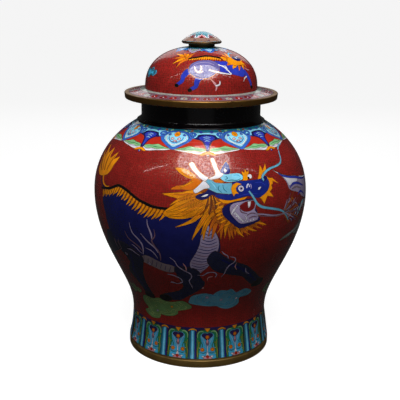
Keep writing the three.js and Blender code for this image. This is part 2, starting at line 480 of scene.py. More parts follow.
@dataclass
class EnamelSkin:
    """A thin closed shell of enamel whose outer side carries a drawing.

    Args:
        name: Name of the piece.
        drawing: The picture.
        ground: The colour behind the cells.
        columns: Spans round the jar.
        rise: Height of the grid's spans in millimetres.
        depth: Thickness in millimetres.
    """

    name: str
    drawing: Drawing
    ground: Glaze
    columns: int = 120
    rise: float = 7.0
    depth: float = SKIN_DEPTH

    def _triangles(self) -> tuple[np.ndarray, np.ndarray, list[Glaze]]:
        """Cuts the flat picture into coloured triangles.

        Returns:
            Flat points in degrees and millimetres, triangles, and each triangle's colour.
        """
        art = self.drawing
        wide = float(np.median(art.line.per_degree(np.linspace(art.low, art.high, 9))))
        turn = np.linspace(-180, 180, self.columns + 1)
        rows = max(2, int((art.high - art.low) / self.rise))
        rises = np.linspace(art.low, art.high, rows + 1)
        border = [(t, art.low) for t in turn] + [(180.0, s) for s in rises[1:]]
        border += [(t, art.high) for t in turn[::-1][1:]] + [(-180.0, s) for s in rises[::-1][1:-1]]
        polygons = [np.array(border)]
        paints = [self.ground]
        for p, paint in art.cells:
            low, high = p[:, 0].min(), p[:, 0].max()
            for move in (-FULL_TURN, 0.0, FULL_TURN):
                if low + move < 180 and high + move > -180:
                    polygons.append(p + [move, 0])
                    paints.append(paint)
        grid = [(t, s) for t in turn[1:-1] for s in rises[1:-1]]
        sizes = [len(p) for p in polygons]
        spots = np.vstack(polygons + [np.array(grid)]) * [wide, 1]
        keys, inverse = np.unique(np.round(spots, 4), axis=0, return_inverse=True)
        inverse = inverse.ravel()
        faces = []
        kept_paints = []
        start = 0
        for size, paint in zip(sizes, paints):
            loop = inverse[start:start + size].tolist()
            start += size
            loop = [a for a, b in zip(loop, loop[1:] + loop[:1]) if a != b]
            if len(loop) > 2:
                faces.append(loop)
                kept_paints.append(paint)
        made = delaunay_2d_cdt([Vector(k) for k in keys], [], faces, 0, 1e-5, True)
        triangles = []
        colours = []
        for corners, sources in zip(made[2], made[5]):
            if 0 in sources and len(corners) == 3:
                triangles.append(corners)
                colours.append(kept_paints[max(sources)])
        flat = np.array([tuple(v) for v in made[0]]) / [wide, 1]
        return flat, np.array(triangles), colours

    def build(self) -> bpy.types.Object:
        """Makes the shell with its picture, normals and colour attributes."""
        art, line = self.drawing, self.drawing.line
        flat, triangles, colours = self._triangles()
        used = np.unique(triangles)
        renumber = np.full(len(flat), -1)
        renumber[used] = np.arange(len(used))
        flat, triangles = flat[used], renumber[triangles]
        spots, normals = line.place(flat[:, 0], flat[:, 1])
        turn = np.linspace(-180, 180, self.columns + 1)
        rows = max(2, int((art.high - art.low) / (self.rise * 2)))
        rises = np.linspace(art.low, art.high, rows + 1)
        back_flat = np.array([(t, s) for s in rises for t in turn])
        back, back_normals = line.place(back_flat[:, 0], back_flat[:, 1], self.depth)
        offset = len(spots)
        across = self.columns + 1
        quads = []
        for row in range(rows):
            for k in range(self.columns):
                a = offset + row * across + k
                quads.append((a, a + across, a + across + 1, a + 1))
        edges = []
        for level, first, flip in ((art.low, offset, False), (art.high, offset + rows * across, True)):
            rim = np.nonzero(np.abs(flat[:, 1] - level) < 1e-3)[0]
            rim = rim[np.argsort(flat[rim, 0])]
            if len(rim) != across:
                log.info("%s: %d points on a rim of %d", self.name, len(rim), across)
            for k in range(min(len(rim), across) - 1):
                quad = (int(rim[k]), first + k, first + k + 1, int(rim[k + 1]))
                edges.append(quad[::-1] if flip else quad)
        flat_all = np.vstack([flat, back_flat])
        spots_all = np.vstack([spots, back])
        normals_all = np.vstack([normals, -back_normals])
        merged = self._seam(flat_all, spots_all, offset)
        faces, kinds = [], []
        for kind, group in enumerate((triangles.tolist(), quads, edges)):
            for face in group:
                joined = [int(merged[v]) for v in face]
                corners = [v for v, a, b in zip(face, joined, joined[1:] + joined[:1]) if a != b]
                if len(corners) > 2:
                    faces.append(corners)
                    kinds.append(kind)
                elif kind == 0:
                    kinds.append(-1)
        shown = [c for c, kind in zip(colours, kinds[:len(triangles)]) if kind == 0]
        kinds = [kind for kind in kinds if kind >= 0]
        source = np.array([v for face in faces for v in face])
        corner_kind = np.repeat(kinds, [len(face) for face in faces])
        kept = np.unique(merged[source])
        number = np.full(len(flat_all), -1)
        number[kept] = np.arange(len(kept))
        mesh = bpy.data.meshes.new(self.name)
        mesh.from_pydata(spots_all[kept].tolist(), [], [number[merged[face]].tolist() for face in faces])
        share = (flat_all[source] - [-180, art.low]) / [FULL_TURN, art.high - art.low]
        share[:, 0] = share[:, 0] * 0.998 + 0.001
        lift = np.select([corner_kind == 0, corner_kind == 1], [share[:, 1] * 0.94 + 0.001, share[:, 1] * 0.03 + 0.95],
                         0.985 + 0.01 * (source >= offset))
        share[:, 1] = lift
        uv = mesh.uv_layers.new(name="OFBake")
        uv.data.foreach_set("uv", share.astype(np.float32).ravel())
        tones = np.tile(np.array(self.ground.linear), (len(source), 1))
        front = len(shown) * 3
        tones[:front] = np.repeat(np.array([c.linear for c in shown]), 3, axis=0)
        paint = mesh.color_attributes.new("glaze", "FLOAT_COLOR", "CORNER")
        paint.data.foreach_set("color", tones.astype(np.float32).ravel())
        wired = np.zeros(len(source), np.float32)
        wired[:front] = np.repeat([float(c is Glaze.WIRE) for c in shown], 3)
        wire = mesh.attributes.new("wire", "FLOAT", "CORNER")
        wire.data.foreach_set("value", wired)
        wide = float(np.median(line.per_degree(np.linspace(art.low, art.high, 9))))
        chart = np.zeros((len(source), 3), np.float32)
        chart[:, :2] = flat_all[source] * [wide, 1]
        chart[:front, 2] = np.repeat([float(c is self.ground) for c in shown], 3)
        place = mesh.attributes.new("place", "FLOAT_VECTOR", "CORNER")
        place.data.foreach_set("vector", chart.ravel())
        mesh.polygons.foreach_set("use_smooth", np.ones(len(mesh.polygons), bool))
        if mesh.validate():
            log.info("%s: its mesh had faults that were mended", self.name)
        mesh.normals_split_custom_set_from_vertices(normals_all[kept].tolist())
        log.info("%s: %d faces, %d cells", self.name, len(faces), len(art.cells))
        return new_mesh_object(self.name, mesh)

    @staticmethod
    def _seam(flat: np.ndarray, spots: np.ndarray, offset: int) -> np.ndarray:
        """Finds which points are one where the picture meets itself at the back and at the pole.

        Args:
            flat: Points in degrees and millimetres.
            spots: The same points in metres.
            offset: Where the back side's points begin.

        Returns:
            For each point the one that stands for it.
        """
        merged = np.arange(len(flat))
        for low, high in ((0, offset), (offset, len(flat))):
            some = np.arange(low, high)
            left = some[flat[some, 0] < -179.9999]
            right = some[flat[some, 0] > 179.9999]
            tree = KDTree(len(left))
            for k in left:
                tree.insert(spots[k], int(k))
            tree.balance()
            for k in right:
                _, match, far = tree.find(spots[k])
                if far < 1e-5:
                    merged[k] = match
            pole = some[np.hypot(spots[some, 0], spots[some, 1]) < 1e-7]
            if len(pole):
                merged[pole] = pole[0]
        return merged


def quiet_selection() -> None:
    """Leaves nothing selected, in object mode."""
    if bpy.context.object and bpy.context.object.mode != "OBJECT":
        bpy.ops.object.mode_set(mode="OBJECT")
    bpy.ops.object.select_all(action="DESELECT")


def turned_piece(name: str, outline: Points, steps: int, bevel: float = 0.0, closed: bool = True,
                 sharp: float = 35.0) -> bpy.types.Object:
    """Extrudes an outline point by point and spins it about the jar's axis.

    Args:
        name: Name of the piece.
        outline: Radius and height in millimetres.
        steps: Spans round the axis.
        bevel: Width of the rounding on sharp edges, in millimetres.
        closed: Whether the outline comes back to its start, or ends on the axis.
        sharp: Angle over which an edge stays crisp, in degrees.

    Returns:
        The piece.
    """
    quiet_selection()
    bpy.ops.mesh.primitive_plane_add(size=0.001, location=(0, 0, 0))
    obj = bpy.context.object
    obj.name = name
    obj.data.name = name
    bpy.ops.object.mode_set(mode="EDIT")
    bpy.ops.mesh.select_all(action="SELECT")
    bpy.ops.mesh.merge(type="CENTER")
    spots = [Vector((r * MM, 0, z * MM)) for r, z in outline]
    if closed:
        spots.append(spots[0])
    bpy.ops.transform.translate(value=spots[0])
    for a, b in zip(spots, spots[1:]):
        bpy.ops.mesh.extrude_region_move(TRANSFORM_OT_translate={"value": b - a})
    bpy.ops.mesh.select_all(action="SELECT")
    bpy.ops.mesh.remove_doubles(threshold=1e-7)
    bpy.ops.mesh.spin(steps=steps, angle=2 * math.pi, center=(0, 0, 0), axis=(0, 0, 1))
    bpy.ops.mesh.select_all(action="SELECT")
    bpy.ops.mesh.remove_doubles(threshold=2e-6)
    bpy.ops.mesh.normals_make_consistent(inside=False)
    bpy.ops.object.mode_set(mode="OBJECT")
    if bevel:
        rounding = obj.modifiers.new("rounding", "BEVEL")
        rounding.width = bevel * MM
        rounding.segments = 3
        rounding.limit_method = "ANGLE"
        rounding.angle_limit = math.radians(30)
        rounding.harden_normals = False
        bpy.ops.object.modifier_apply(modifier=rounding.name)
    bpy.ops.object.shade_smooth_by_angle(angle=math.radians(sharp))
    return obj


@dataclass
class NodeBoard:
    """Builds the node graph of one material.

    Args:
        name: Name of the material.
    """

    name: str

    def __post_init__(self) -> None:
        """Starts from the shader alone."""
        self.material = bpy.data.materials.new(self.name)
        self.material.use_nodes = True
        self.tree = self.material.node_tree
        self.shader = self.tree.nodes["Principled BSDF"]

    def add(self, kind: str, settings: Optional[dict[str, Any]] = None, **sockets: Any) -> bpy.types.Node:
        """Adds a node, sets its properties, and sets or links its inputs."""
        node = self.tree.nodes.new(kind)
        for key, value in (settings or {}).items():
            setattr(node, key, value)
        for key, value in sockets.items():
            self.put(node.inputs[key.replace("_", " ")], value)
        return node

    def put(self, socket: bpy.types.NodeSocket, value: Any) -> None:
        """Sets a socket's value, or links it where the value is another socket."""
        if isinstance(value, bpy.types.NodeSocket):
            self.tree.links.new(value, socket)
        else:
            socket.default_value = value

    def coordinates(self) -> bpy.types.NodeSocket:
        """Object coordinates, in metres."""
        return self.add("ShaderNodeTexCoord").outputs["Object"]

    def noise(self, scale: float, detail: float = 3.0, rough: float = 0.5) -> bpy.types.NodeSocket:
        """Noise over the piece."""
        node = self.add("ShaderNodeTexNoise", Vector=self.coordinates(), Scale=scale, Detail=detail,
                        Roughness=rough)
        return node.outputs["Fac"]

    def ramp(self, value: Any, low: float, high: float, to_low: float, to_high: float) -> bpy.types.NodeSocket:
        """Maps a value from one range to another, held at both ends."""
        node = self.add("ShaderNodeMapRange", {"clamp": True}, Value=value)
        for key, number in (("From Min", low), ("From Max", high), ("To Min", to_low), ("To Max", to_high)):
            node.inputs[key].default_value = number
        return node.outputs["Result"]

    def math(self, operation: str, one: Any, two: Any) -> bpy.types.NodeSocket:
        """Joins two numbers."""
        node = self.add("ShaderNodeMath", {"operation": operation})
        self.put(node.inputs[0], one)
        self.put(node.inputs[1], two)
        return node.outputs[0]

    def mix(self, share: Any, one: Any, two: Any, blend: str = "MIX") -> bpy.types.NodeSocket:
        """Mixes two colours."""
        node = self.add("ShaderNodeMix", {"data_type": "RGBA", "blend_type": blend})
        self.put(node.inputs[0], share)
        self.put(node.inputs[6], one)
        self.put(node.inputs[7], two)
        return node.outputs[2]

    def bump(self, height: Any, distance: float, strength: float = 1.0) -> None:
        """Puts a relief on the shader."""
        node = self.add("ShaderNodeBump", Height=height, Distance=distance, Strength=strength)
        self.put(self.shader.inputs["Normal"], node.outputs["Normal"])


@dataclass(frozen=True)
class EnamelFinish:
    """Fired enamel that reads its colours from the piece, with gilt wire flush in it.

    Args:
        gloss: Roughness of the polished enamel.
        pits: How dark the tiny firing pits are, from 0 to 1.
        scroll_pitch: Distance between the ground's wire scrolls in millimetres.
        scroll_radius: Radius of a scroll in millimetres.
        scroll_gap: Distance between a scroll's turns in millimetres.
        scroll_wire: Width of a scroll's wire in millimetres.
    """

    gloss: float = 0.05
    pits: float = 0.45
    scroll_pitch: float = 3.5
    scroll_radius: float = 1.6
    scroll_gap: float = 0.95
    scroll_wire: float = 0.30

    def scrolls(self, board: NodeBoard) -> bpy.types.NodeSocket:
        """The small wire scrolls that fill the ground, as 1 on the wire and 0 beside it."""
        place = board.add("ShaderNodeAttribute", {"attribute_name": "place"}).outputs["Vector"]
        cells = board.add("ShaderNodeTexVoronoi", {"voronoi_dimensions": "2D"}, Vector=place,
                          Scale=1 / self.scroll_pitch, Randomness=0.45)
        offset = board.add("ShaderNodeVectorMath", {"operation": "SUBTRACT"})
        board.put(offset.inputs[0], place)
        board.put(offset.inputs[1], cells.outputs["Position"])
        axes = board.add("ShaderNodeSeparateXYZ", Vector=offset.outputs[0])
        chance = board.add("ShaderNodeSeparateXYZ", Vector=cells.outputs["Color"])
        flat_x, flat_y = axes.outputs["X"], axes.outputs["Y"]
        reach = board.math("POWER", board.math("ADD", board.math("MULTIPLY", flat_x, flat_x),
                                               board.math("MULTIPLY", flat_y, flat_y)), 0.5)
        turn = board.math("DIVIDE", board.math("ARCTAN2", flat_y, flat_x), 2 * math.pi)
        hand = board.math("SUBTRACT", board.math("MULTIPLY", board.math("GREATER_THAN", chance.outputs["Y"], 0.5), 2), 1)
        phase = board.math("ADD", board.math("DIVIDE", reach, self.scroll_gap), chance.outputs["X"])
        phase = board.math("ADD", phase, board.math("MULTIPLY", turn, hand))
        away = board.math("ABSOLUTE", board.math("SUBTRACT", board.math("FRACT", board.math("ADD", phase, 8), 0), 0.5), 0)
        half = self.scroll_wire / self.scroll_gap / 2
        line = board.ramp(away, half - 0.04, half + 0.05, 1.0, 0.0)
        inside = board.ramp(reach, self.scroll_radius - 0.1, self.scroll_radius, 1.0, 0.0)
        ground = board.add("ShaderNodeSeparateXYZ", Vector=place).outputs["Z"]
        return board.math("MULTIPLY", board.math("MULTIPLY", line, inside), ground)

    def make(self, name: str) -> bpy.types.Material:
        """Builds the material."""
        board = NodeBoard(name)
        paint = board.add("ShaderNodeAttribute", {"attribute_name": "glaze"}).outputs["Color"]
        drawn = board.add("ShaderNodeAttribute", {"attribute_name": "wire"}).outputs["Fac"]
        wire = board.math("MAXIMUM", drawn, self.scrolls(board))
        cloud = board.ramp(board.noise(60, 4, 0.6), 0.3, 0.7, 0.80, 1.12)
        grain = board.ramp(board.noise(900, 2, 0.6), 0.3, 0.7, 0.90, 1.06)
        tone = board.math("MULTIPLY", cloud, grain)
        varied = board.add("ShaderNodeVectorMath", {"operation": "SCALE"}, Scale=tone)
        board.put(varied.inputs[0], paint)
        pit = board.ramp(board.noise(420, 2, 0.7), 0.27, 0.31, self.pits, 0.0)
        glassy = board.mix(pit, varied.outputs[0], (0.02, 0.015, 0.012, 1))
        worn = board.ramp(board.noise(160, 3), 0.35, 0.65, 0.0, 0.6)
        gilt = board.mix(worn, Glaze.WIRE.linear, (0.16, 0.09, 0.035, 1))
        gilt = board.mix(drawn, (0.20, 0.075, 0.045, 1), gilt)
        board.put(board.shader.inputs["Base Color"], board.mix(wire, glassy, gilt))
        board.put(board.shader.inputs["Metallic"], board.math("MULTIPLY", wire, 0.9))
        smear = board.ramp(board.noise(38, 4), 0.3, 0.7, self.gloss, self.gloss + 0.05)
        rough = board.math("ADD", smear, board.math("MULTIPLY", wire, 0.18))
        mottle = board.ramp(board.noise(520, 1, 0.5), 0.42, 0.58, 0.22, 1.0)
        board.put(board.shader.inputs["Specular IOR Level"], mottle)
        board.put(board.shader.inputs["Roughness"], board.math("ADD", rough, board.math("MULTIPLY", pit, 0.25)))
        lift = board.math("ADD", board.math("MULTIPLY", board.noise(210, 2), 0.12),
                          board.math("MULTIPLY", wire, 0.35))
        board.bump(board.math("SUBTRACT", lift, board.math("MULTIPLY", pit, 0.4)), 0.0002, 0.35)
        return board.material


@dataclass(frozen=True)
class MetalFinish:
    """Worn metal with a darker patina in clouds and fine turning lines.

    Args:
        bright: Colour of the clean metal, in linear light.
        dull: Colour of the patina.
        rough: Roughness of the clean metal.
        patina: How much of the surface is dull, from 0 to 1.
        metallic: How metallic it is.
        lines: Strength of the fine turning lines.
    """

    bright: tuple[float, float, float, float]
    dull: tuple[float, float, float, float]
    rough: float = 0.3
    patina: float = 0.5
    metallic: float = 1.0
    lines: float = 0.3

    def make(self, name: str) -> bpy.types.Material:
        """Builds the material."""
        board = NodeBoard(name)
        edge = 0.62 - 0.3 * self.patina
        cloud = board.ramp(board.noise(42, 3, 0.5), edge - 0.2, edge + 0.2, 0.0, 1.0)
        speck = board.ramp(board.noise(640, 2, 0.5), 0.58, 0.76, 0.0, 0.25)
        share = board.math("MAXIMUM", cloud, speck)
        board.put(board.shader.inputs["Base Color"], board.mix(share, self.bright, self.dull))
        board.shader.inputs["Metallic"].default_value = self.metallic
        soft = board.ramp(board.noise(140, 4), 0.3, 0.7, self.rough - 0.06, self.rough + 0.1)
        board.put(board.shader.inputs["Roughness"], board.math("ADD", soft, board.math("MULTIPLY", share, 0.18)))
        turned = board.add("ShaderNodeTexWave", {"wave_type": "BANDS", "bands_direction": "Z"},
                           Vector=board.coordinates(), Scale=420, Distortion=0.6, Detail=2)
        relief = board.math("ADD", board.math("MULTIPLY", turned.outputs["Fac"], self.lines),
                            board.math("MULTIPLY", board.noise(300, 2, 0.5), 0.25))
        board.bump(relief, 0.0001, 0.3)
        return board.material


class Metal(Enum):
    """The metals of the jar."""

    BAND_BRASS = MetalFinish((0.27, 0.14, 0.035, 1), (0.19, 0.095, 0.022, 1), 0.28, 0.4, 0.9, 0.1)
    FOOT_BRASS = MetalFinish((0.36, 0.22, 0.055, 1), (0.20, 0.12, 0.035, 1), 0.3, 0.45, 0.6)
    STEM_BRASS = MetalFinish((0.30, 0.16, 0.055, 1), (0.08, 0.045, 0.02, 1), 0.3, 0.6)
    # Near-black: painted shade for the deep shade that the lid's flange throws on the neck.
    DARK_COLLAR = MetalFinish((0.0012, 0.0009, 0.002, 1), (0.003, 0.0018, 0.0018, 1), 0.1, 0.3, 0.0, 0.04)
    COPPER = MetalFinish((0.33, 0.15, 0.08, 1), (0.10, 0.055, 0.035, 1), 0.42, 0.6)


def finish_piece(obj: bpy.types.Object, material: bpy.types.Material, slot: str, *nodes: str) -> None:
    """Dresses a piece, makes it ride and hides the CAD nodes that it stands for.

    Args:
        obj: The piece.
        material: Its finish.
        slot: The record's material slot, not used.
        nodes: The CAD nodes that it stands for.
    """
    obj.data.materials.clear()
    obj.data.materials.append(material)
    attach(obj, "root")
    if nodes:
        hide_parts(*nodes)
    log.info("piece %s: %d faces", obj.name, len(obj.data.polygons))


def both_sides(half: Points) -> Points:
    """A symmetric outline from its right half, which starts at the middle and may end there."""
    mirrored = half[:-1] if half[-1][0] == 0 else half
    return [(-x, s) for x, s in mirrored[:0:-1]] + list(half)


def hatch(art: Drawing, left: Points, right: Points, count: int, glaze: Glaze, width: float, bow: float = 1.5) -> None:
    """Draws fine strands from one line to another.

    Args:
        art: The drawing.
        left: Where the strands start.
        right: Where they end.
        count: How many there are.
        glaze: Their colour.
        width: Their width in millimetres.
        bow: How far they sag, in millimetres.
    """
    ends = []
    for line in (left, right):
        spots = np.array(line, float)
        steps = np.linspace(0, len(spots) - 1, count + 2)[1:-1]
        ends.append(np.stack([np.interp(steps, np.arange(len(spots)), spots[:, k]) for k in (0, 1)], axis=1))
    for a, b in zip(*ends):
        middle = (a + b) / 2 - [0, bow]
        art.stroke([tuple(a), tuple(middle), tuple(b)], (width * 0.5, width, width * 0.5), glaze, 3, 0.0)


@dataclass
class FootLappets:
    """The border of lappet panels over the foot, parted by turquoise columns."""

    count: int = 15
    middle: float = 7.2
    column: float = 1.5

    def draw(self, art: Drawing) -> None:
        """Draws every panel and column."""
        pitch = FULL_TURN / self.count
        for k in range(self.count):
            art.shift = self.middle + (k - self.count // 2) * pitch
            self._panel(art)
            self._column(art, -pitch / 2)
        art.shift = 0.0

    def _column(self, art: Drawing, at: float) -> None:
        """Draws the turquoise column between two panels, with its orange cap."""
        art.blob([(at - 3.3, 0), (at + 3.3, 0), (at + 3.1, 45.6), (at - 3.1, 45.6)], Glaze.NAVY, 1)
        for side, glaze in ((-1, Glaze.TEAL), (1, Glaze.BLUE)):
            art.blob([(at + side * 1.9, 0), (at + side * 2.8, 0), (at + side * 2.6, 44), (at + side * 1.8, 44)],
                     glaze, 1, 0.2)
        wide = self.column
        art.blob([(at - wide, 0), (at + wide, 0), (at + wide * 0.9, 45), (at - wide * 0.9, 45)], Glaze.TURQUOISE, 1)
        art.blob([(at - 0.5, 0), (at + 0.5, 0), (at + 0.4, 44), (at - 0.4, 44)], Glaze.AQUA, 1, 0.0)
        art.blob([(at - 3.4, 44.2), (at - 2.0, 45.6), (at, 46.2), (at + 2.0, 45.6), (at + 3.4, 44.2), (at + 2.6, 46.8),
                  (at, 48.6), (at - 2.6, 46.8)], Glaze.YELLOW, 2)

    def _panel(self, art: Drawing) -> None:
        """Draws one lappet with its green scrolls, dark heart and lotus."""
        art.blob(both_sides([(0, 43.2), (2.4, 45.2), (5.6, 45.4), (8.2, 41.5), (8.9, 36), (8.9, 0)]), Glaze.GREEN, 1)
        art.blob(both_sides([(0, 40.8), (1.8, 41.6), (3.8, 41.2), (5.4, 38.4), (5.6, 34), (4.8, 27), (5.6, 18), (6.6, 8),
                       (6.8, 0)]), Glaze.TURQUOISE, 1)
        art.blob(both_sides([(0, 39.6), (1.7, 40.6), (3.8, 39.4), (4.4, 36.6), (2.6, 33.2), (0, 29.4)]), Glaze.NAVY, 2)
        art.blob([(-2.3, 48.4), (2.3, 48.4), (1.3, 45.4), (0, 42.8), (-1.3, 45.4)], Glaze.YELLOW, 1)
        for mirror in (False, True):
            art.mirrored = mirror
            bands(art, (
                ([(7.9, 33), (7.9, 39), (6.4, 43.2), (4.2, 43.6), (3.2, 42.6)], (0.8, 1.7, 1.0), Glaze.LEAF),
                ([(7.6, 3), (8.1, 13), (7.1, 21), (7.8, 30)], (1.0, 1.7, 1.2), Glaze.OLIVE),
                ([(5.0, 36.5), (3.4, 31), (1.9, 24), (1.1, 17)], (0.6, 1.0, 0.6), Glaze.PALE_BLUE),
                ([(4.9, 26), (3.9, 21), (4.4, 18)], (0.6, 1.1, 0.7), Glaze.GREEN),
                ([(1.0, 10), (3.6, 8.8), (5.8, 10.4)], (0.6, 1.2, 0.6), Glaze.TEAL)), 0.25)
            for s, glaze in ((8, Glaze.LEAF), (17, Glaze.LEAF), (25.5, Glaze.OLIVE)):
                art.dot(6.4, s, 1.0, glaze, 0.3, 8)
            art.dot(4.1, 14.4, 2.9, Glaze.ORANGE, 0.45, 11)
            art.dot(4.1, 14.7, 1.2, Glaze.YELLOW, 0.3, 8)
            art.leaf((1.7, 2.4), (4.6, 4.6), 3.0, Glaze.WHITE, 0, 0.4)
        art.mirrored = False
        art.stroke([(0, 9), (0, 24)], (1.3, 0.9), Glaze.WHITE, 1, 0.4)
        art.leaf((0, 21.0), (0, 32.0), 4.4, Glaze.MAUVE, 0.0, 0.4)
        art.leaf((0, 24.0), (0, 31.5), 3.0, Glaze.PINK, 0.0, 0.3)
        art.dot(0, 34.4, 2.8, Glaze.ORANGE, 0.45, 12)
        art.dot(0, 34.8, 1.2, Glaze.YELLOW, 0.25, 8)
        art.blob([(-3.4, 0.4), (-2.2, 4.4), (0, 2.6), (2.2, 4.4), (3.4, 0.4)], Glaze.PINK, 1)
        art.leaf((0, 2.6), (0, 11.0), 4.4, Glaze.WHITE, 0.0, 0.4)
        art.dot(0, 3.4, 2.2, Glaze.SCARLET, 0.4)


@dataclass
class ShoulderCollar:
    """The border round the neck: eight cloud heads and eight dark pendants over a scalloped edge."""

    count: int = 8
    head: float = 27.0
    pendant: float = 4.5

    def draw(self, art: Drawing) -> None:
        """Draws the rings, of which the grey one at the top is a painted reflection, then each pendant and cloud head.
        """
        pitch = FULL_TURN / self.count
        top = art.high
        # The grey ring along the top edge, where the shoulder meets the neck, is a painted reflection of the fillet
        # there.
        art.ring((390 + top) / 2, top - 390, Glaze.GREY, 0.5)
        art.ring(386.8, 5.4, Glaze.TEAL)
        art.ring(363.6, 24.4, Glaze.SCARLET, 0.0)
        art.ring(379.6, 8.0, Glaze.AQUA)
        for k in range(-self.count // 2, self.count // 2):
            art.shift = self.pendant + k * pitch
            for mirror in (False, True):
                art.mirrored = mirror
                self._valance(art)
            art.mirrored = False
            self._pendant(art)
        for k in range(-self.count // 2, self.count // 2):
            art.shift = self.head + k * pitch
            self._cloud_head(art)
        art.shift = 0.0
        bands(art, (
            ([(55.9, 339.0), (57.4, 342.0), (60.5, 345), (64.6, 346.4)], (2.0, 2.2, 1.4, 0.7), Glaze.CREST),
            ([(57.4, 341), (58.6, 344.6), (61.4, 347.6)], (1.6, 1.2, 0.6), Glaze.PALE_BLUE)), 0.4)

    def _valance(self, art: Drawing) -> None:
        """Draws the wavy leaf from a pendant to a cloud head, and the curls over it."""
        art.blob([(1.0, 349), (2.6, 345.2), (5.4, 343.6), (9, 344.8), (12, 346.2), (16, 347.2), (21.4, 349.6),
                  (17, 350.8), (13, 352), (9, 352.4), (5, 352.4), (2, 352)], Glaze.WHITE, 2)
        art.blob([(1.4, 350), (4.6, 347.6), (8, 349.4), (12, 348.2), (16, 349.8), (21.8, 350.4), (18, 352), (15, 354),
                  (11.6, 356.8), (8, 354.6), (5, 354.2), (2.6, 353)], Glaze.LEAF, 2)
        bands(art, (
            ([(3.6, 350.8), (8, 352.2), (12, 351.4), (16.6, 351.8)], (0.7, 1.3, 0.7), Glaze.GREEN),
            ([(3, 346.8), (7, 347), (11, 347.4)], (0.6, 1.1, 0.6), Glaze.LILAC)), 0.0)
        art.curl(16.6, 387.0, 2.2, 1.3, 180, Glaze.LEAF, 1.2, 1, 0.35)
        art.curl(11.4, 387.2, 2.0, 1.3, 0, Glaze.AMBER, 1.1, -1, 0.35)
        art.curl(4.4, 384.4, 2.6, 1.2, 20, Glaze.ROYAL, 1.3, 1, 0.35)
        art.curl(8.0, 378.0, 1.8, 1.1, 200, Glaze.GREEN, 1.1, 1, 0.3)

    def _pendant(self, art: Drawing) -> None:
        """Draws a dark winged pendant with pale bars, and the bow under it."""
        art.blob(both_sides([(0, 347.4), (1.2, 350), (1.6, 356), (2.5, 362), (3.8, 366.4), (6.2, 369.2), (9.4, 370.8),
                             (8.0, 373.4), (6.6, 377.4), (3.0, 379.6)]), Glaze.NAVY, 2)
        art.blob(both_sides([(0, 351), (0.7, 354), (1.4, 362), (2.8, 367), (5.4, 371), (5.2, 374.6), (2.6, 377.4)]),
                 Glaze.ROYAL, 2, 0.3)
        for s, wide in ((374.6, 2.8), (371.2, 2.3), (367.2, 1.7)):
            art.stroke([(-wide, s - 1.2), (0, s + 0.4), (wide, s - 1.2)], (0.7, 1.5, 0.7), Glaze.PALE_BLUE, 2, 0.2)
        art.blob(both_sides([(0, 347.6), (2.6, 346.2), (4.8, 342.4), (2.6, 342.2), (0, 344.2)]), Glaze.YELLOW, 2, 0.45)
        art.dot(0, 341.6, 2.0, Glaze.BLUE, 0.45, 10)
        art.dot(0, 342.0, 0.9, Glaze.WHITE, 0.2, 8)

    def _cloud_head(self, art: Drawing) -> None:
        """Draws a broad cloud head with its volutes, flowers and gem."""
        whole = both_sides([(0, 349.4), (2.8, 352.6), (6.6, 358.6), (10.2, 364.6), (11.9, 370), (11.6, 375.6),
                            (9.4, 380.6), (5.4, 385.2)])
        art.blob(whole, Glaze.MID_BLUE, 2)
        art.blob([(x * 0.76, 371 + (s - 371) * 0.78) for x, s in whole], Glaze.AQUA, 2)
        bands(art, (
            ([(-6.9, 377), (-7.6, 370), (-4.8, 363), (0, 357.6), (4.8, 363), (7.6, 370), (6.9, 377)], (1.0, 1.5, 1.0),
             Glaze.WHITE),
            ([(-5.6, 373), (-4.4, 367), (0, 361.6), (4.4, 367), (5.6, 373)], (0.8, 1.2, 0.8), Glaze.MID_BLUE)), 0.3)
        for side in (-1, 1):
            art.dot(side * 2.5, 369.6, 2.4, Glaze.PINK, 0.4, 9)
            art.dot(side * 2.5, 369.8, 1.0, Glaze.WHITE, 0.25, 8)
            art.dot(side * 12.2, 378.4, 6.6, Glaze.AQUA, 0.0, 16)
            art.curl(side * 12.2, 378.4, 6.4, 1.5, 90 - 160 * side, Glaze.MID_BLUE, 2.8, -side, 0.45, 0.12)
            art.curl(side * 6.0, 377.4, 2.2, 1.2, 90, Glaze.ROYAL, 1.2, side, 0.35)
            art.leaf((side * 0.5, 365.8), (side * 1.8, 363.0), 2.2, Glaze.MAUVE, 0, 0.3)
        art.dot(0, 365.8, 1.8, Glaze.PINK, 0.35, 8)
        art.blob(both_sides([(0, 373.6), (1.6, 375.4), (2.3, 379), (1.5, 382.4), (0, 384.4)]), Glaze.YELLOW, 2, 0.5)
        art.dot(0, 378.6, 1.7, Glaze.ORANGE, 0.3, 8)


Band = tuple[Points, Sequence[float], Glaze]


def bands(art: Drawing, drawn: Sequence[Band], wire: float = WIRE) -> None:
    """Draws several bands of changing width, each with its own line, widths and colour."""
    for points, widths, glaze in drawn:
        art.stroke(points, widths, glaze, 3, wire)


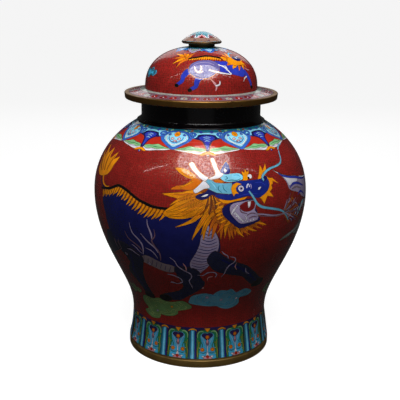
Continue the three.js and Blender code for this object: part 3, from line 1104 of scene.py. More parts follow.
@dataclass
class Beast:
    """The blue horned beast that prances round the front, with its golden mane and tail."""

    def draw(self, art: Drawing) -> None:
        """Draws the beast from its far limbs to its head."""
        self._far_side(art)
        self._trunk(art)
        self._back_ridge(art)
        self._near_legs(art)
        self._flames(art)
        self._mane(art)
        self._head(art)

    def _far_side(self, art: Drawing) -> None:
        """Draws the tail and the far legs."""
        art.blob([(-69.5, 287), (-73, 292), (-75, 299), (-76, 308), (-80, 324), (-73.4, 315), (-76.4, 336),
                  (-69.6, 322), (-66, 335), (-64.4, 322), (-62.6, 318), (-57.6, 331), (-58.4, 318), (-53.6, 325),
                  (-55.6, 311), (-56.6, 302), (-59, 294), (-64, 289)], Glaze.YELLOW, 2)
        bands(art, (
            ([(-77, 318), (-73.6, 306), (-69, 294)], (1.0, 3.6, 2.0), Glaze.AMBER),
            ([(-73.6, 328), (-70, 312), (-66.6, 296)], (1.0, 2.6, 2.0), Glaze.ORANGE),
            ([(-66.4, 328), (-66, 313), (-64, 297)], (1.0, 2.8, 1.8), Glaze.AMBER),
            ([(-58.8, 325), (-60, 312), (-61.4, 299)], (0.8, 2.2, 1.4), Glaze.ORANGE),
            ([(-63.4, 292), (-62.5, 285), (-61.4, 280.4), (-59.6, 277.6), (-56.6, 276.6), (-54.6, 278.4)],
             (4.2, 3.4, 2.4, 1.2), Glaze.YELLOW),
            ([(-66, 288), (-64.6, 282), (-62, 276), (-58, 273.2)], (1.2, 1.8, 1.2), Glaze.NAVY)), 0.5)
        art.blob([(-60, 208), (-50, 208), (-43, 196), (-46, 187), (-54, 176), (-60, 168), (-66, 160), (-72, 158),
                  (-70, 172), (-64, 190)], Glaze.DEEP, 2)
        art.blob([(-68, 160), (-63, 160), (-62, 152), (-66, 149), (-70, 152)], Glaze.BLACK, 2)

    def _trunk(self, art: Drawing) -> None:
        """Draws the deep blue trunk with its scales, belly bands and chest bands."""
        art.blob([(-60, 270), (-54, 273), (-50, 277), (-45, 280), (-40, 278), (-34, 271), (-28, 263), (-22, 260),
                  (-16, 260), (-8, 258), (0, 252), (5, 240), (9, 224), (10.5, 208), (10, 194), (6, 176), (0, 160),
                  (-8, 158), (-16, 162), (-24, 168), (-33, 172), (-42, 178), (-50, 186), (-55, 200), (-57, 218),
                  (-58, 236), (-60, 252)], Glaze.NAVY, 3)
        art.blob([(-36, 176), (-30, 183), (-25, 178.5), (-20, 173), (-15, 171), (-13, 162), (-17, 157), (-22, 159),
                  (-28, 164.5), (-34, 170)], Glaze.DUSK, 3)
        for k in range(8):
            a = -33 + k * 2.6
            low = 172.5 - k * 2.0
            art.stroke([(a, low - 2), (a + 1.2, low + 7.5)], (0.8, 0.6), Glaze.NAVY, 1, 0.0)
        art.blob([(4, 240), (1, 225), (0, 210), (-2, 195), (-5, 178), (-4, 165), (-1, 157), (3, 166), (7, 181),
                  (9, 196), (9.8, 210), (8.4, 226)], Glaze.LILAC, 3)
        for k in range(15):
            s = 164 + k * 5.0
            left = float(np.interp(s, (157, 178, 210, 240), (-2.6, -4.6, 0.2, 3.6)))
            right = float(np.interp(s, (157, 181, 210, 240), (0.5, 6.6, 9.4, 5.4)))
            art.stroke([(left, s), ((left + right) / 2, s - 3.4), (right, s + 1)], (0.9, 1.3, 0.9),
                       Glaze.NAVY if k % 3 else Glaze.MAUVE, 3, 0.0)

    def _back_ridge(self, art: Drawing) -> None:
        """Draws the golden fringe under the dark ridge of the back."""
        line = ((-61, 269), (-57, 272), (-53.5, 275), (-50, 279), (-46.5, 282), (-43, 281), (-39.6, 278), (-36.4, 274),
                (-33.4, 270), (-30.6, 267), (-27.8, 264), (-25, 262), (-22, 261), (-19, 261), (-16, 261))
        turns, heights = zip(*line)
        art.stroke([(a, s - 3.4) for a, s in line], (6.0, 7.0, 6.0), Glaze.AMBER, 2, 0.0)
        for k in range(23):
            a = -60.4 + k * 1.98
            s = float(np.interp(a, turns, heights))
            lean = float(np.interp(a, (-61, -46, -25, -16), (0.6, -2.0, -3.8, -3.0)))
            fall = float(np.interp(a, (-61, -46, -30, -16), (10.5, 13.5, 16, 16.5))) - 2.0 * (k % 2)
            art.stroke([(a + 0.6, s + 0.5), (a + 0.5 + lean * 0.4, s - fall * 0.5), (a + lean, s - fall)],
                       (3.2, 4.0, 0.6), Glaze.YELLOW, 3, 0.4)
            art.stroke([(a + 0.9, s - 3), (a + 0.8 + lean * 0.5, s - fall * 0.62)], (1.0, 0.5),
                       Glaze.ORANGE if k % 2 else Glaze.AMBER, 2, 0.0)
        art.stroke([(-63, 271), (-58, 273.5), (-54, 275.4), (-50, 280), (-47, 283.5), (-44, 283.4), (-40, 280.4),
                    (-36, 275.4), (-32, 270.4), (-28, 266.8), (-24, 263.6), (-20, 262.6), (-15, 262.6)],
                   (2.2, 3.4, 3.2, 3.4, 3.0), Glaze.BLACK)

    def _near_legs(self, art: Drawing) -> None:
        """Draws the hind leg and both forelegs with their hooves."""
        art.blob([(-52, 192), (-46, 196), (-38, 190), (-33, 178), (-34, 165), (-36, 152), (-37.4, 138), (-37.6, 122),
                  (-35.6, 106), (-36, 100), (-42, 99), (-43.4, 110), (-47, 124), (-50.4, 138), (-48.4, 150),
                  (-45.4, 160), (-47, 172), (-51, 182)], Glaze.DEEP, 2)
        art.blob([(-42.4, 103), (-35.6, 104), (-34.4, 98), (-35.4, 94.5), (-42.8, 94.5), (-43.4, 99)], Glaze.BLACK, 2)
        art.blob([(8, 200), (13, 190), (17, 182.5), (22, 175), (28, 167), (34, 154), (40, 140), (46, 128), (42, 119),
                  (36, 126), (31.5, 136), (26.5, 147), (20, 152), (14, 157), (9, 163), (6, 172), (4, 186)],
                 Glaze.DEEP, 2)
        art.blob([(39, 128), (44.6, 133), (48, 126), (46.6, 117.5), (40.6, 117), (37.4, 121)], Glaze.BLACK, 2)
        art.blob([(-14, 168), (-13, 152), (-11.4, 141), (-9.8, 130), (-13, 121), (-19, 115), (-25, 109), (-27.5, 102),
                  (-21, 99), (-14, 100), (-8.4, 108.5), (-3, 118), (2, 128), (3.4, 140), (0.4, 151), (0, 162),
                  (-6, 170)], Glaze.DEEP, 2)
        art.blob([(-28.6, 104.5), (-24.5, 107.5), (-20, 104), (-20.4, 96.6), (-26, 94.5), (-29.4, 98)], Glaze.BLACK, 2)
        bands(art, (
            ([(-42, 178), (-43, 160), (-45, 144), (-43.6, 126), (-40, 110)], (4.0, 6.0, 3.0), Glaze.NAVY),
            ([(12, 184), (20, 170), (28, 157), (34, 143), (40, 130)], (3.0, 5.0, 3.0), Glaze.NAVY)), 0.0)

    def _flames(self, art: Drawing) -> None:
        """Draws the pale flame scrolls on the shoulder, flank and legs."""
        pale, warm = Glaze.LILAC, Glaze.PINK
        mauve = Glaze.MAUVE
        taper = (0.7, 1.8, 1.6, 0.7)
        rich = (0.7, 1.9, 2.6, 1.2)
        bands(art, (
            ([(-37.8, 234), (-37.4, 225), (-36.2, 217), (-33.4, 210), (-31.4, 202), (-31.2, 193), (-32, 184)], rich, pale),
            ([(-42, 218), (-40.4, 208), (-37, 202), (-33.6, 196), (-31.8, 189)], rich, mauve),
            ([(-43.4, 187), (-40, 187), (-37, 182.4), (-34.6, 180)], taper, pale),
            ([(-38.6, 198), (-36, 194), (-34.4, 189), (-32.6, 185)], taper, pale),
            ([(-26.7, 244), (-26.6, 236), (-25.6, 228), (-24.8, 220), (-24.8, 212)], rich, pale),
            ([(-23.2, 230), (-22.8, 222), (-23.6, 216), (-25, 211), (-23.6, 202), (-21.8, 194), (-21.2, 186),
              (-21.5, 178)], rich, mauve),
            ([(-31.2, 220), (-29, 213), (-26.8, 207), (-23.8, 200), (-22.2, 192)], rich, pale),
            ([(-29.4, 197), (-26.4, 194), (-24.2, 188), (-23, 181)], taper, pale),
            ([(-49.4, 199), (-50, 190), (-49, 183), (-52, 178)], taper, mauve),
            ([(-53.4, 197), (-53.4, 188), (-52, 180)], taper, mauve),
            ([(-16, 186), (-13.5, 180), (-12, 171), (-8.5, 163), (-5, 157), (-4.5, 150), (-6, 143), (-5, 134),
              (-4, 127)], taper, pale),
            ([(-9, 177), (-7.5, 170), (-7.4, 163)], taper, warm),
            ([(-19, 153), (-15, 151), (-11, 146), (-10.4, 139), (-14, 135.4), (-18, 137)], taper, pale),
            ([(-1, 155), (2.4, 154.6), (5, 160), (8.6, 160), (10.2, 155), (9.4, 150)], taper, pale),
            ([(8, 152), (5.4, 150), (4.8, 144)], taper, warm),
            ([(11.5, 199), (13, 194), (15, 190), (15.5, 185)], taper, pale),
            ([(16.5, 188), (19.4, 185), (19.6, 178), (16.8, 172), (15.3, 164), (14.6, 156), (13, 150)], taper, pale),
            ([(21, 176), (20.4, 169), (21.8, 162)], taper, warm),
            ([(27.6, 163), (28.6, 155), (31.6, 149)], taper, pale),
            ([(-19, 153), (-15.6, 152), (-12.5, 149)], taper, pale),
            ([(-17.5, 138), (-13.5, 135)], taper, pale)), 0.3)
        art.curl(-29, 168, 2.6, 1.2, 90, pale, 1.3, 1, 0.4)
        art.curl(-46, 176, 3.0, 1.3, 30, pale, 1.4, -1, 0.4)
        art.curl(2.5, 128.5, 2.0, 1.1, 200, warm, 1.1, 1, 0.4)

    def _lock(self, art: Drawing, points: Points, width: float, dark: bool = False) -> None:
        """Draws one tapering lock of hair with darker strands in it."""
        art.stroke(points, (width * 0.75, width, width * 0.62, 0.5), Glaze.ORANGE if dark else Glaze.YELLOW, 4, 0.45)
        art.stroke(points[:-1], (width * 0.1, width * 0.2, width * 0.1), Glaze.AMBER if dark else Glaze.ORANGE, 4, 0.0)
        scale = float(art.line.per_degree(points[0][1]))
        across, up = (points[-1][0] - points[0][0]) * scale, points[-1][1] - points[0][1]
        long = math.hypot(across, up)
        for share in (-0.29, 0.29):
            move_x, move_s = -up / long * share * width / scale, across / long * share * width
            strand = [(x + move_x, s + move_s) for x, s in points[:-1]]
            art.stroke(strand, (0.4, 0.6, 0.3), Glaze.BROWN if dark else Glaze.AMBER, 4, 0.0)

    def _mane(self, art: Drawing) -> None:
        """Draws the golden mane and beard in long tapering locks."""
        art.blob([(-13.6, 320.6), (-9, 320.8), (-5, 315.6), (-2.2, 309), (-4.6, 306.4), (-8.6, 310.4)], Glaze.YELLOW, 2)
        art.blob([(-3, 308), (0, 304), (2, 296), (-1, 290), (-9, 291), (-14.8, 290.2), (-11.6, 295.6), (-8, 297.4),
                  (-5, 303.4)], Glaze.ORANGE, 2)
        for points, width, dark in (
                ([(10, 252), (10.6, 236), (10.5, 218.5)], 6.5, True), ([(12, 248), (12.6, 235), (12.4, 220)], 6, True),
                ([(13.4, 246), (14.6, 232), (15.2, 216.5)], 6.5, True), ([(16, 244), (17.4, 233), (17.8, 223)], 6, True),
                ([(18, 240), (18.8, 232), (19.6, 223)], 5, True), ([(20, 239), (21.2, 231), (21.4, 221.6)], 5, True),
                ([(22, 240), (23.6, 231), (24.4, 221)], 5, True), ([(25, 241), (26.4, 233), (27.4, 226)], 4.6, True),
                ([(27, 243), (28.8, 236), (30, 229.6)], 4.4, True), ([(29, 245), (31.2, 239), (33.4, 232.6)], 4.2, True),
                ([(8, 258), (7.4, 240), (6, 219.6)], 7.5, True), ([(7, 262), (3.6, 247), (2.2, 233), (2.0, 218.4)], 8, False),
                ([(6, 266), (2.4, 251), (-0.8, 236), (-3.8, 218.4)], 8.5, False)):
            self._lock(art, points, width, dark)
        art.blob([(-3, 291), (-9, 286.8), (-18.8, 283.4), (-14.6, 280.2), (-10.4, 277), (-13, 268.6), (-16, 262),
                  (-18, 255), (-14.4, 249.6), (-9, 249.4), (-4, 252.4), (0.4, 259), (5.6, 262), (9, 268), (8.4, 276),
                  (4, 283)], Glaze.YELLOW, 2)
        for points, width, dark in (
                ([(5, 270), (0.6, 259), (-4, 246.6), (-11.8, 236.6)], 8.5, False),
                ([(2, 274), (-4, 264), (-9, 256), (-15.6, 251.4)], 7, False),
                ([(1, 280), (-5, 272), (-10.6, 264), (-16.4, 258)], 6, False),
                ([(0, 286), (-6, 280.6), (-11, 275), (-14.6, 268)], 5, False)):
            self._lock(art, points, width, dark)
        art.blob([(4, 280), (9, 280), (13, 276), (11.4, 268), (10.4, 260), (12.6, 250), (16, 241.4), (19, 234),
                  (14.6, 236), (9, 243), (5, 253), (3.6, 266)], Glaze.RUST, 2)
        for k in range(6):
            lean = k - 2.5
            art.stroke([(5.6 + lean * 0.6, 284 - abs(lean)), (6.0 + lean * 1.1, 270), (5.2 + lean * 1.5, 256)],
                       (0.6, 1.9, 0.6), Glaze.YELLOW if k % 2 else Glaze.BROWN, 3, 0.3)
        hatch(art, [(-8, 289.6), (-15, 283.4), (-12.6, 279), (-9.6, 276), (-11, 270), (-14, 264)],
              [(-1, 289), (2, 285), (3.6, 281), (5, 277), (6, 273), (6.6, 269.6)], 13, Glaze.AMBER, 0.6)
        hatch(art, [(-13, 262), (-16, 257), (-14, 251.6), (-8, 251), (-3, 253.6)],
              [(1, 266), (1.4, 264), (1.8, 262), (2.2, 261), (2.6, 260.6)], 7, Glaze.AMBER, 0.6)
        hatch(art, [(4.4, 279), (4.2, 268), (5.2, 256), (8.6, 245.6), (14, 237.6)],
              [(12.4, 275.6), (10.8, 268), (10.6, 258), (12.8, 248.6), (17.4, 237)], 16, Glaze.BROWN, 0.6, -0.8)
        hatch(art, [(-12.6, 319), (-9, 313), (-6, 309)], [(-5, 314), (-4, 311), (-3.6, 308.4)], 3, Glaze.AMBER, 0.6)
        for points, width, dark in (
                ([(12.6, 252), (11, 240), (8.4, 228)], 5.5, True), ([(14.4, 246), (12.6, 234), (12.8, 224)], 5, False),
                ([(16.6, 241), (15.6, 231), (17.0, 218)], 5.2, True), ([(18.6, 236.6), (19.4, 229), (22.6, 219.6)], 5, False),
                ([(20.6, 235.6), (22.6, 228.6), (26.0, 222)], 4.4, True), ([(23, 236.4), (26, 230.6), (29.8, 226.4)], 4.2, False),
                ([(25.6, 238), (29, 233.6), (32.6, 229)], 4, True), ([(28, 240.4), (32, 237.4), (35.2, 233.4)], 3.8, False),
                ([(11.2, 262), (8, 252), (5.6, 240), (4.2, 224)], 6, True), ([(11, 268), (6.6, 258), (3, 246), (0.6, 226)], 5, False)):
            self._lock(art, points, width, dark)
        bands(art, (
            ([(6, 277), (6.4, 267), (7.6, 256), (10, 246)], (1.0, 1.8, 1.0), Glaze.AMBER),
            ([(9, 274), (8.8, 264), (9.8, 254), (12.4, 244)], (1.0, 1.6, 0.8), Glaze.YELLOW),
            ([(4.6, 272), (2.6, 263), (0, 256)], (0.8, 1.5, 0.8), Glaze.AMBER),
            ([(-1, 287), (-7, 284.4), (-13, 283.4)], (0.9, 1.5, 0.8), Glaze.ORANGE),
            ([(-3.4, 303), (-6.6, 298), (-10.4, 293.4)], (0.9, 1.5, 0.8), Glaze.YELLOW)), 0.3)
        for theta, s in ((9.4, 262), (9.6, 257), (10.2, 252), (10.0, 267.4), (11.8, 247), (13.8, 242), (9.4, 273)):
            art.leaf((theta - 2.0, s - 3), (theta + 1.6, s + 1.6), 3.0, Glaze.YELLOW, 0.3, 0.35)
        art.blob([(9, 280.4), (11.4, 276.4), (13.6, 279.6), (15, 275), (16.4, 277.4), (20, 277.6), (24, 279), (22, 275.2),
                  (17, 273.8), (13.4, 271.4), (11.2, 272.4), (9.6, 275.6)], Glaze.YELLOW, 1, 0.4)

    def _head(self, art: Drawing) -> None:
        """Draws the face with its open mouth, the horns and the whiskers."""
        self._jaw(art)
        self._crest(art)
        art.blob([(31, 301), (32.6, 309), (34.8, 321.4), (35.6, 312.4), (38.8, 322.8), (38, 313), (36.4, 306),
                  (38.2, 301), (40.6, 300.4), (44.4, 290.2), (40.4, 296.4), (40.2, 292), (39, 290.4), (39.4, 285.4),
                  (37.4, 281.6), (39.6, 273.2), (35.6, 276.4), (33.4, 265.6), (31.8, 273.4), (28, 280), (30, 290)],
                 Glaze.YELLOW, 1, 0.5)
        art.blob([(16.4, 300), (22, 301.2), (27, 301.2), (33, 301.4), (35.8, 305.8), (37.3, 300.6), (37.9, 293),
                  (36.7, 285.6), (33.4, 279), (30.2, 275.6), (27.6, 277.6), (24, 280), (20, 278.2), (16.4, 276.4),
                  (13, 276.4), (9, 279.4), (7.2, 283.4), (10, 285), (16, 284.4)], Glaze.BLUE, 2)
        art.blob([(18.8, 299.8), (16.8, 297.6), (15.6, 292), (15.8, 286.6), (16.7, 281), (17.7, 284.6), (19.3, 284.4),
                  (18.2, 288), (18.0, 292), (19.2, 295.8), (21.4, 297.2)], Glaze.YELLOW, 1, 0.4)
        art.blob([(22.4, 302), (22.8, 309), (22.4, 315.4), (24.0, 312.6), (24.6, 318), (25.5, 313), (26.6, 315.8),
                  (26.2, 309.4), (25.4, 304), (24.6, 301.8)], Glaze.YELLOW, 1, 0.4)
        art.dot(20.8, 291, 4.1, Glaze.WHITE, 0.4, 14)
        art.dot(20.9, 291, 2.7, Glaze.LILAC, 0.3, 12)
        art.dot(20.9, 291, 1.5, Glaze.BLACK, 0, 10)
        art.dot(26.7, 307, 3.3, Glaze.WHITE, 0.4, 12)
        art.dot(25.8, 304.9, 1.7, Glaze.BLACK, 0, 10)
        bands(art, (
            ([(24, 291), (24.4, 295), (25.2, 296.4), (25.6, 292)], (1.2, 1.3, 1.0), Glaze.WHITE),
            ([(26.2, 296), (26.6, 292.6), (26.2, 289.6)], (1.2, 1.2, 0.8), Glaze.LILAC),
            ([(19, 280.4), (22, 282), (26, 282.6), (30, 281)], (0.5, 0.9, 0.5), Glaze.ROYAL),
            ([(29, 297.4), (32.6, 296.6), (35, 292)], (0.5, 0.9, 0.5), Glaze.ROYAL)), 0.0)
        art.leaf((30.4, 286.8), (32.4, 290.2), 3.0, Glaze.WHITE, 0.6, 0.35)
        art.blob([(34.4, 302), (36.4, 304.6), (37.2, 302.4), (36.0, 298.4), (34.6, 298)], Glaze.NAVY, 2, 0.35)
        bands(art, (
            ([(34.8, 298.6), (34.2, 303.4), (36.6, 309.4), (41, 314), (46.5, 315.8), (50.6, 318.4), (53, 324),
              (54.4, 331.6), (55.6, 337.2)], (3.0, 3.4, 2.8, 2.4, 2.2), Glaze.CREST),
            ([(25, 286.4), (27, 278), (29, 268), (32, 261.6), (37.6, 257), (43, 252.6), (46.6, 247.6), (50, 238.6),
              (52, 231)], (2.2, 3.4, 3.2, 2.8, 1.2), Glaze.CREST),
            ([(28.6, 252.6), (34, 249.6), (39, 246), (46, 244.2), (52, 246.6)], (1.4, 2.2, 1.6, 0.8), Glaze.LILAC),
            ([(29.4, 249.4), (35, 246.6), (41, 243.4), (46, 243.6)], (0.8, 1.2, 0.6), Glaze.MAUVE)), 0.5)

    def _jaw(self, art: Drawing) -> None:
        """Draws the open mouth."""
        art.blob([(27, 275.4), (20, 274), (15, 271.8), (11.6, 266.6), (10.8, 260), (12.5, 251), (16, 242.4),
                  (19.5, 234.4), (24, 236.4), (28, 239.6), (30.8, 243), (29.8, 252), (28, 262)], Glaze.NAVY, 2)
        art.blob([(14.6, 266), (16.4, 271), (21, 272.6), (27, 273.4), (28.4, 266), (27.6, 258.6), (29.6, 252),
                  (29.4, 243.8), (24, 241.2), (20.4, 241), (18, 246.4), (15.2, 256)], Glaze.LILAC, 2)
        art.blob([(19.6, 266.8), (22.6, 271.6), (27, 272.2), (27.8, 266), (26.6, 260), (23.4, 257.6), (20.8, 260.4)],
                 Glaze.DARK_RED, 2, 0.4)
        art.blob([(24.0, 271.8), (25.6, 271.8), (25.2, 265.6), (24.3, 262.6), (24.0, 266.4)], Glaze.WHITE, 1, 0.35)
        bands(art, (
            ([(15.3, 255.8), (16.6, 262), (18.6, 268.4)], (1.4, 3.0, 1.4), Glaze.WHITE),
            ([(17.0, 259), (18.4, 253), (20.4, 247), (22.0, 243.4)], (1.2, 3.0, 2.6, 1.2), Glaze.WHITE),
            ([(22.2, 252.6), (23.4, 248), (22.4, 244)], (0.8, 1.3, 0.8), Glaze.WHITE),
            ([(23.4, 252), (25.6, 254.6), (28.2, 253.6)], (0.8, 1.4, 0.8), Glaze.MAUVE),
            ([(24.6, 247.4), (26.6, 249.4), (29, 248.2)], (0.8, 1.4, 0.8), Glaze.MAUVE),
            ([(19.6, 263), (20.6, 257.6), (23.6, 254.8)], (0.8, 1.3, 0.8), Glaze.MAUVE)), 0.3)
        hatch(art, [(14.8, 265), (16.6, 270.4), (20.6, 272)], [(18.4, 262), (19, 266), (21.8, 270.6)], 5, Glaze.MAUVE, 0.5)
        for theta, s in ((19.2, 249.4), (20.3, 246.8), (21.3, 244.2), (23.8, 243.2), (25.6, 244.2), (27.2, 245.2),
                         (17.9, 252.4), (16.9, 256.2)):
            art.dot(theta, s, 1.3, Glaze.WHITE, 0.25, 7)

    def _crest(self, art: Drawing) -> None:
        """Draws the ear, the turquoise crest and the two branched horns."""
        art.blob([(-2.2, 281), (-0.4, 285), (2.6, 287.4), (4.4, 292.6), (8, 287.4), (12, 285.4), (17, 285), (17, 278),
                  (14, 276.4), (9.4, 279.2), (7, 283.2), (5.4, 284.4), (3.2, 279), (0, 277.4)], Glaze.NAVY, 2)
        art.leaf((4.0, 284.8), (0.4, 281.6), 2.6, Glaze.WHITE, 0.3, 0.3)
        art.blob([(-0.6, 289.4), (2.4, 292.6), (4.0, 293.6), (3.0, 290), (1.0, 287.2)], Glaze.AMBER, 2, 0.4)
        art.blob([(0.4, 311), (4, 306.8), (8, 302), (12, 299.4), (17, 300.4), (21.6, 302), (19, 299.4), (16.6, 297.4),
                  (15.4, 291), (16.4, 284.8), (12, 285.4), (8, 287.2), (4.6, 292), (1, 297), (1.4, 303)],
                 Glaze.CREST, 2)
        art.blob([(9, 318.4), (12.6, 312.8), (16, 312.8), (19.6, 313.2), (22, 310.6), (22.9, 305), (20, 302.4),
                  (15, 301.4), (12.4, 302.4), (10.6, 306.6), (8.4, 311.6)], Glaze.AQUA, 2)
        bands(art, (
            ([(13, 302.6), (16, 303.8), (19, 303.0), (21.4, 305)], (0.9, 1.5, 0.9), Glaze.TEAL),
            ([(13.2, 309.8), (14.2, 307), (12.9, 304.6)], (0.8, 1.3, 0.8), Glaze.TEAL),
            ([(17.6, 310.4), (20, 310.4), (21.2, 307.6)], (0.8, 1.4, 0.8), Glaze.TURQUOISE),
            ([(9.6, 297), (9.0, 291.6), (10.8, 287)], (0.8, 1.3, 0.8), Glaze.TEAL),
            ([(11.4, 298), (11.8, 291.8), (13.4, 287.4)], (0.8, 1.3, 0.8), Glaze.TEAL),
            ([(5, 303), (7, 297), (8, 292)], (0.8, 1.4, 0.8), Glaze.AQUA)), 0.0)
        art.blob([(6.8, 302.6), (8.6, 305.6), (11.4, 303.4), (11.8, 300.8), (9.4, 300.6)], Glaze.ORANGE, 2, 0.4)
        art.blob([(-6.3, 327), (-5, 330.6), (-3.5, 329), (-1.6, 320), (1.6, 312), (4.0, 308), (2.2, 303.4),
                  (-0.6, 309.4), (-3.6, 317.6)], Glaze.WHITE, 2)
        art.blob([(-3.2, 290.4), (-2.7, 287.2), (-1.4, 287), (1.8, 292.4), (4.8, 294.4), (3.6, 299.6), (1.8, 303.6),
                  (0.2, 299.8), (-1.2, 295.6)], Glaze.WHITE, 2)
        art.blob([(5.8, 334), (6.4, 338), (7.6, 337.4), (8.8, 328), (9.8, 318.6), (12, 313.4), (10.2, 308),
                  (5.7, 305.4), (4.6, 307.2), (8, 312), (7.4, 320)], Glaze.WHITE, 2)
        art.blob([(10.4, 317), (12.4, 325), (14.6, 331.6), (15.8, 325), (16.1, 316), (15, 312.8), (12.4, 313.4)],
                 Glaze.BLUE, 2)
        art.leaf((13.4, 315.4), (13.3, 321.6), 3.6, Glaze.WHITE, 0, 0.35)


@dataclass
class Phoenix:
    """The pale bird that flies in from the right, with long wing and tail feathers."""

    def draw(self, art: Drawing) -> None:
        """Draws the bird's plumage, from its wing tip round to its tail at the back."""
        art.blob([(42.4, 311.4), (46.2, 306), (50, 300.4), (56, 296), (62, 293), (70, 286), (80, 284), (92, 290),
                  (104, 286), (112, 272), (110, 256), (98, 246), (84, 244), (76, 250), (68, 258), (62, 268), (57, 272.6),
                  (52.6, 278), (51.5, 287), (49.4, 296), (46, 304)], Glaze.LILAC, 2)
        art.blob([(42.8, 310.8), (46.2, 305.4), (50.4, 299), (57, 293.6), (63, 290), (62, 284.6), (57, 285.6),
                  (53.4, 282.6), (52, 288), (50, 296), (46, 304)], Glaze.WHITE, 2, 0.4)
        bands(art, (
            ([(46, 305.6), (48.4, 300.4), (54.6, 295), (61.6, 291), (70, 285), (80, 283), (92, 289)],
             (0.8, 2.8, 3.2, 2.0), Glaze.ROYAL),
            ([(53.4, 279.6), (56, 283), (59.4, 283.4), (64.6, 279.6), (70.4, 272.6)], (1.2, 3.2, 3.4, 1.6), Glaze.ROYAL),
            ([(61, 264.4), (64, 267.6), (67, 266), (71.4, 259.4)], (1.0, 2.8, 2.8, 1.2), Glaze.ROYAL),
            ([(55, 276.6), (60, 277.6), (66, 271.6)], (0.8, 2.0, 0.8), Glaze.DUSK),
            ([(66, 290), (72, 286), (78, 283.6)], (0.8, 1.8, 0.8), Glaze.WHITE)), 0.4)
        for k in range(7):
            a = 62 + k * 5.6
            art.leaf((a + 3, 250 + 2 * k), (a - 7, 226 + 3.5 * k), 7.0, (Glaze.BLUE, Glaze.AQUA, Glaze.MAUVE)[k % 3],
                     -1.5, 0.5)
            art.leaf((a + 1.6, 246 + 2 * k), (a - 4.6, 233 + 3.5 * k), 2.8, Glaze.WHITE, -0.8, 0.35)
        art.blob([(47.4, 199.6), (51, 205), (55, 208), (60, 210), (66, 216), (78, 226), (88, 238), (98, 236),
                  (88, 218), (76, 204), (67, 199), (61, 204), (56, 201.6), (52, 201)], Glaze.GREY, 2)
        bands(art, (
            ([(52, 203.6), (58, 206.6), (66, 210), (76, 220), (90, 234)], (0.9, 2.2, 1.6), Glaze.WHITE),
            ([(96, 230), (86, 214), (80, 200), (78, 184)], (6.0, 5.2, 4.2, 1.2), Glaze.AQUA),
            ([(100, 226), (92, 210), (88, 194), (88, 172)], (6.0, 5.2, 4.2, 1.2), Glaze.MAUVE)), 0.5)
        self._twigs(art)
        self._head(art)

    def _twigs(self, art: Drawing) -> None:
        """Draws the spray of twigs under the wing, fanned out from one foot."""
        foot = (46.8, 246)
        tips = ((50, 264), (53.4, 272), (56.6, 272), (58.6, 262), (61.6, 260), (64.6, 252), (63, 246), (66.4, 235),
                (63.4, 228), (60.6, 226), (56, 226), (52.4, 226))
        for k, tip in enumerate(tips):
            reach = tip[0] - foot[0], tip[1] - foot[1]
            bend = 2.4 if k < 7 else -2.4
            knee = foot[0] + reach[0] * 0.5 - 0.6, foot[1] + reach[1] * 0.5 - bend
            glaze = (Glaze.LILAC, Glaze.MAUVE, Glaze.RUST)[k % 3]
            art.stroke([foot, knee, tip], (2.6, 2.0, 0.8), glaze, 3, 0.35)
            for share, side in ((0.55, 1), (0.75, -1)):
                root = foot[0] + reach[0] * share, foot[1] + reach[1] * share - bend * 0.6
                bud = root[0] + 2.2, root[1] + 5.6 * side
                art.stroke([root, (root[0] + 1.6, root[1] + 2.4 * side), bud], (1.5, 1.4, 0.7),
                           (Glaze.MAUVE, Glaze.LILAC, Glaze.ORANGE)[k % 3], 2, 0.3)

    def _head(self, art: Drawing) -> None:
        """Draws the neck, head and crest, which look back over the wing."""
        art.stroke([(102, 280), (112, 294), (116, 310), (111, 322), (104, 326)], (16, 11, 8, 8, 7), Glaze.AQUA, 3)
        for k in range(4):
            art.stroke([(107 + 2.4 * k, 288 + 7 * k), (110 + 2 * k, 285 + 7 * k), (113 + 1.4 * k, 289 + 7 * k)],
                       (0.7, 1.1, 0.7), Glaze.TEAL, 3, 0.0)
        art.dot(103.6, 326, 5.6, Glaze.PINK, 0.55, 14, 0.9)
        art.dot(103.0, 327, 1.7, Glaze.WHITE, 0.4, 10)
        art.dot(103.0, 327, 0.8, Glaze.BLACK, 0.0, 8)
        art.leaf((101.4, 325), (96.6, 321.4), 4.0, Glaze.YELLOW, 0.4)
        for k in range(3):
            art.leaf((105 + k, 330), (108 + 3.4 * k, 341 - 3 * k), 3.4, Glaze.SCARLET if k % 2 else Glaze.ORANGE, 0.8, 0.4)


@dataclass
class Cloud:
    """A lobed cloud with spiral curls.

    Args:
        outline: The cloud's edge.
        glaze: Its main colour.
        edge: The colour of its inner edge.
        curls: Centre, radius, start angle and hand of each curl.
        accents: Centre and radius of each small accent cell.
    """

    outline: Points
    glaze: Glaze
    edge: Glaze
    curls: Sequence[tuple[float, float, float, float, int]] = ()
    accents: Sequence[tuple[float, float, float, Glaze]] = ()

    def draw(self, art: Drawing) -> None:
        """Draws the cloud, its inner edge, curls and accents."""
        art.blob(self.outline, self.glaze, 3)
        middle = np.mean(np.array(self.outline), axis=0)
        for share in (0.84, 0.62):
            inner = [tuple(middle + (np.array(p) - middle) * share) for p in self.outline]
            art.stroke(inner + inner[:1], (0.9, 0.9), self.edge, 3, 0.25)
        for theta, s, radius, start, hand in self.curls:
            art.curl(theta, s, radius * 0.8, 1.4, start, self.edge, 1.0, hand, 0.3, 0.15)
        for theta, s, radius, glaze in self.accents:
            art.dot(theta, s, radius, glaze, 0.45, 10)


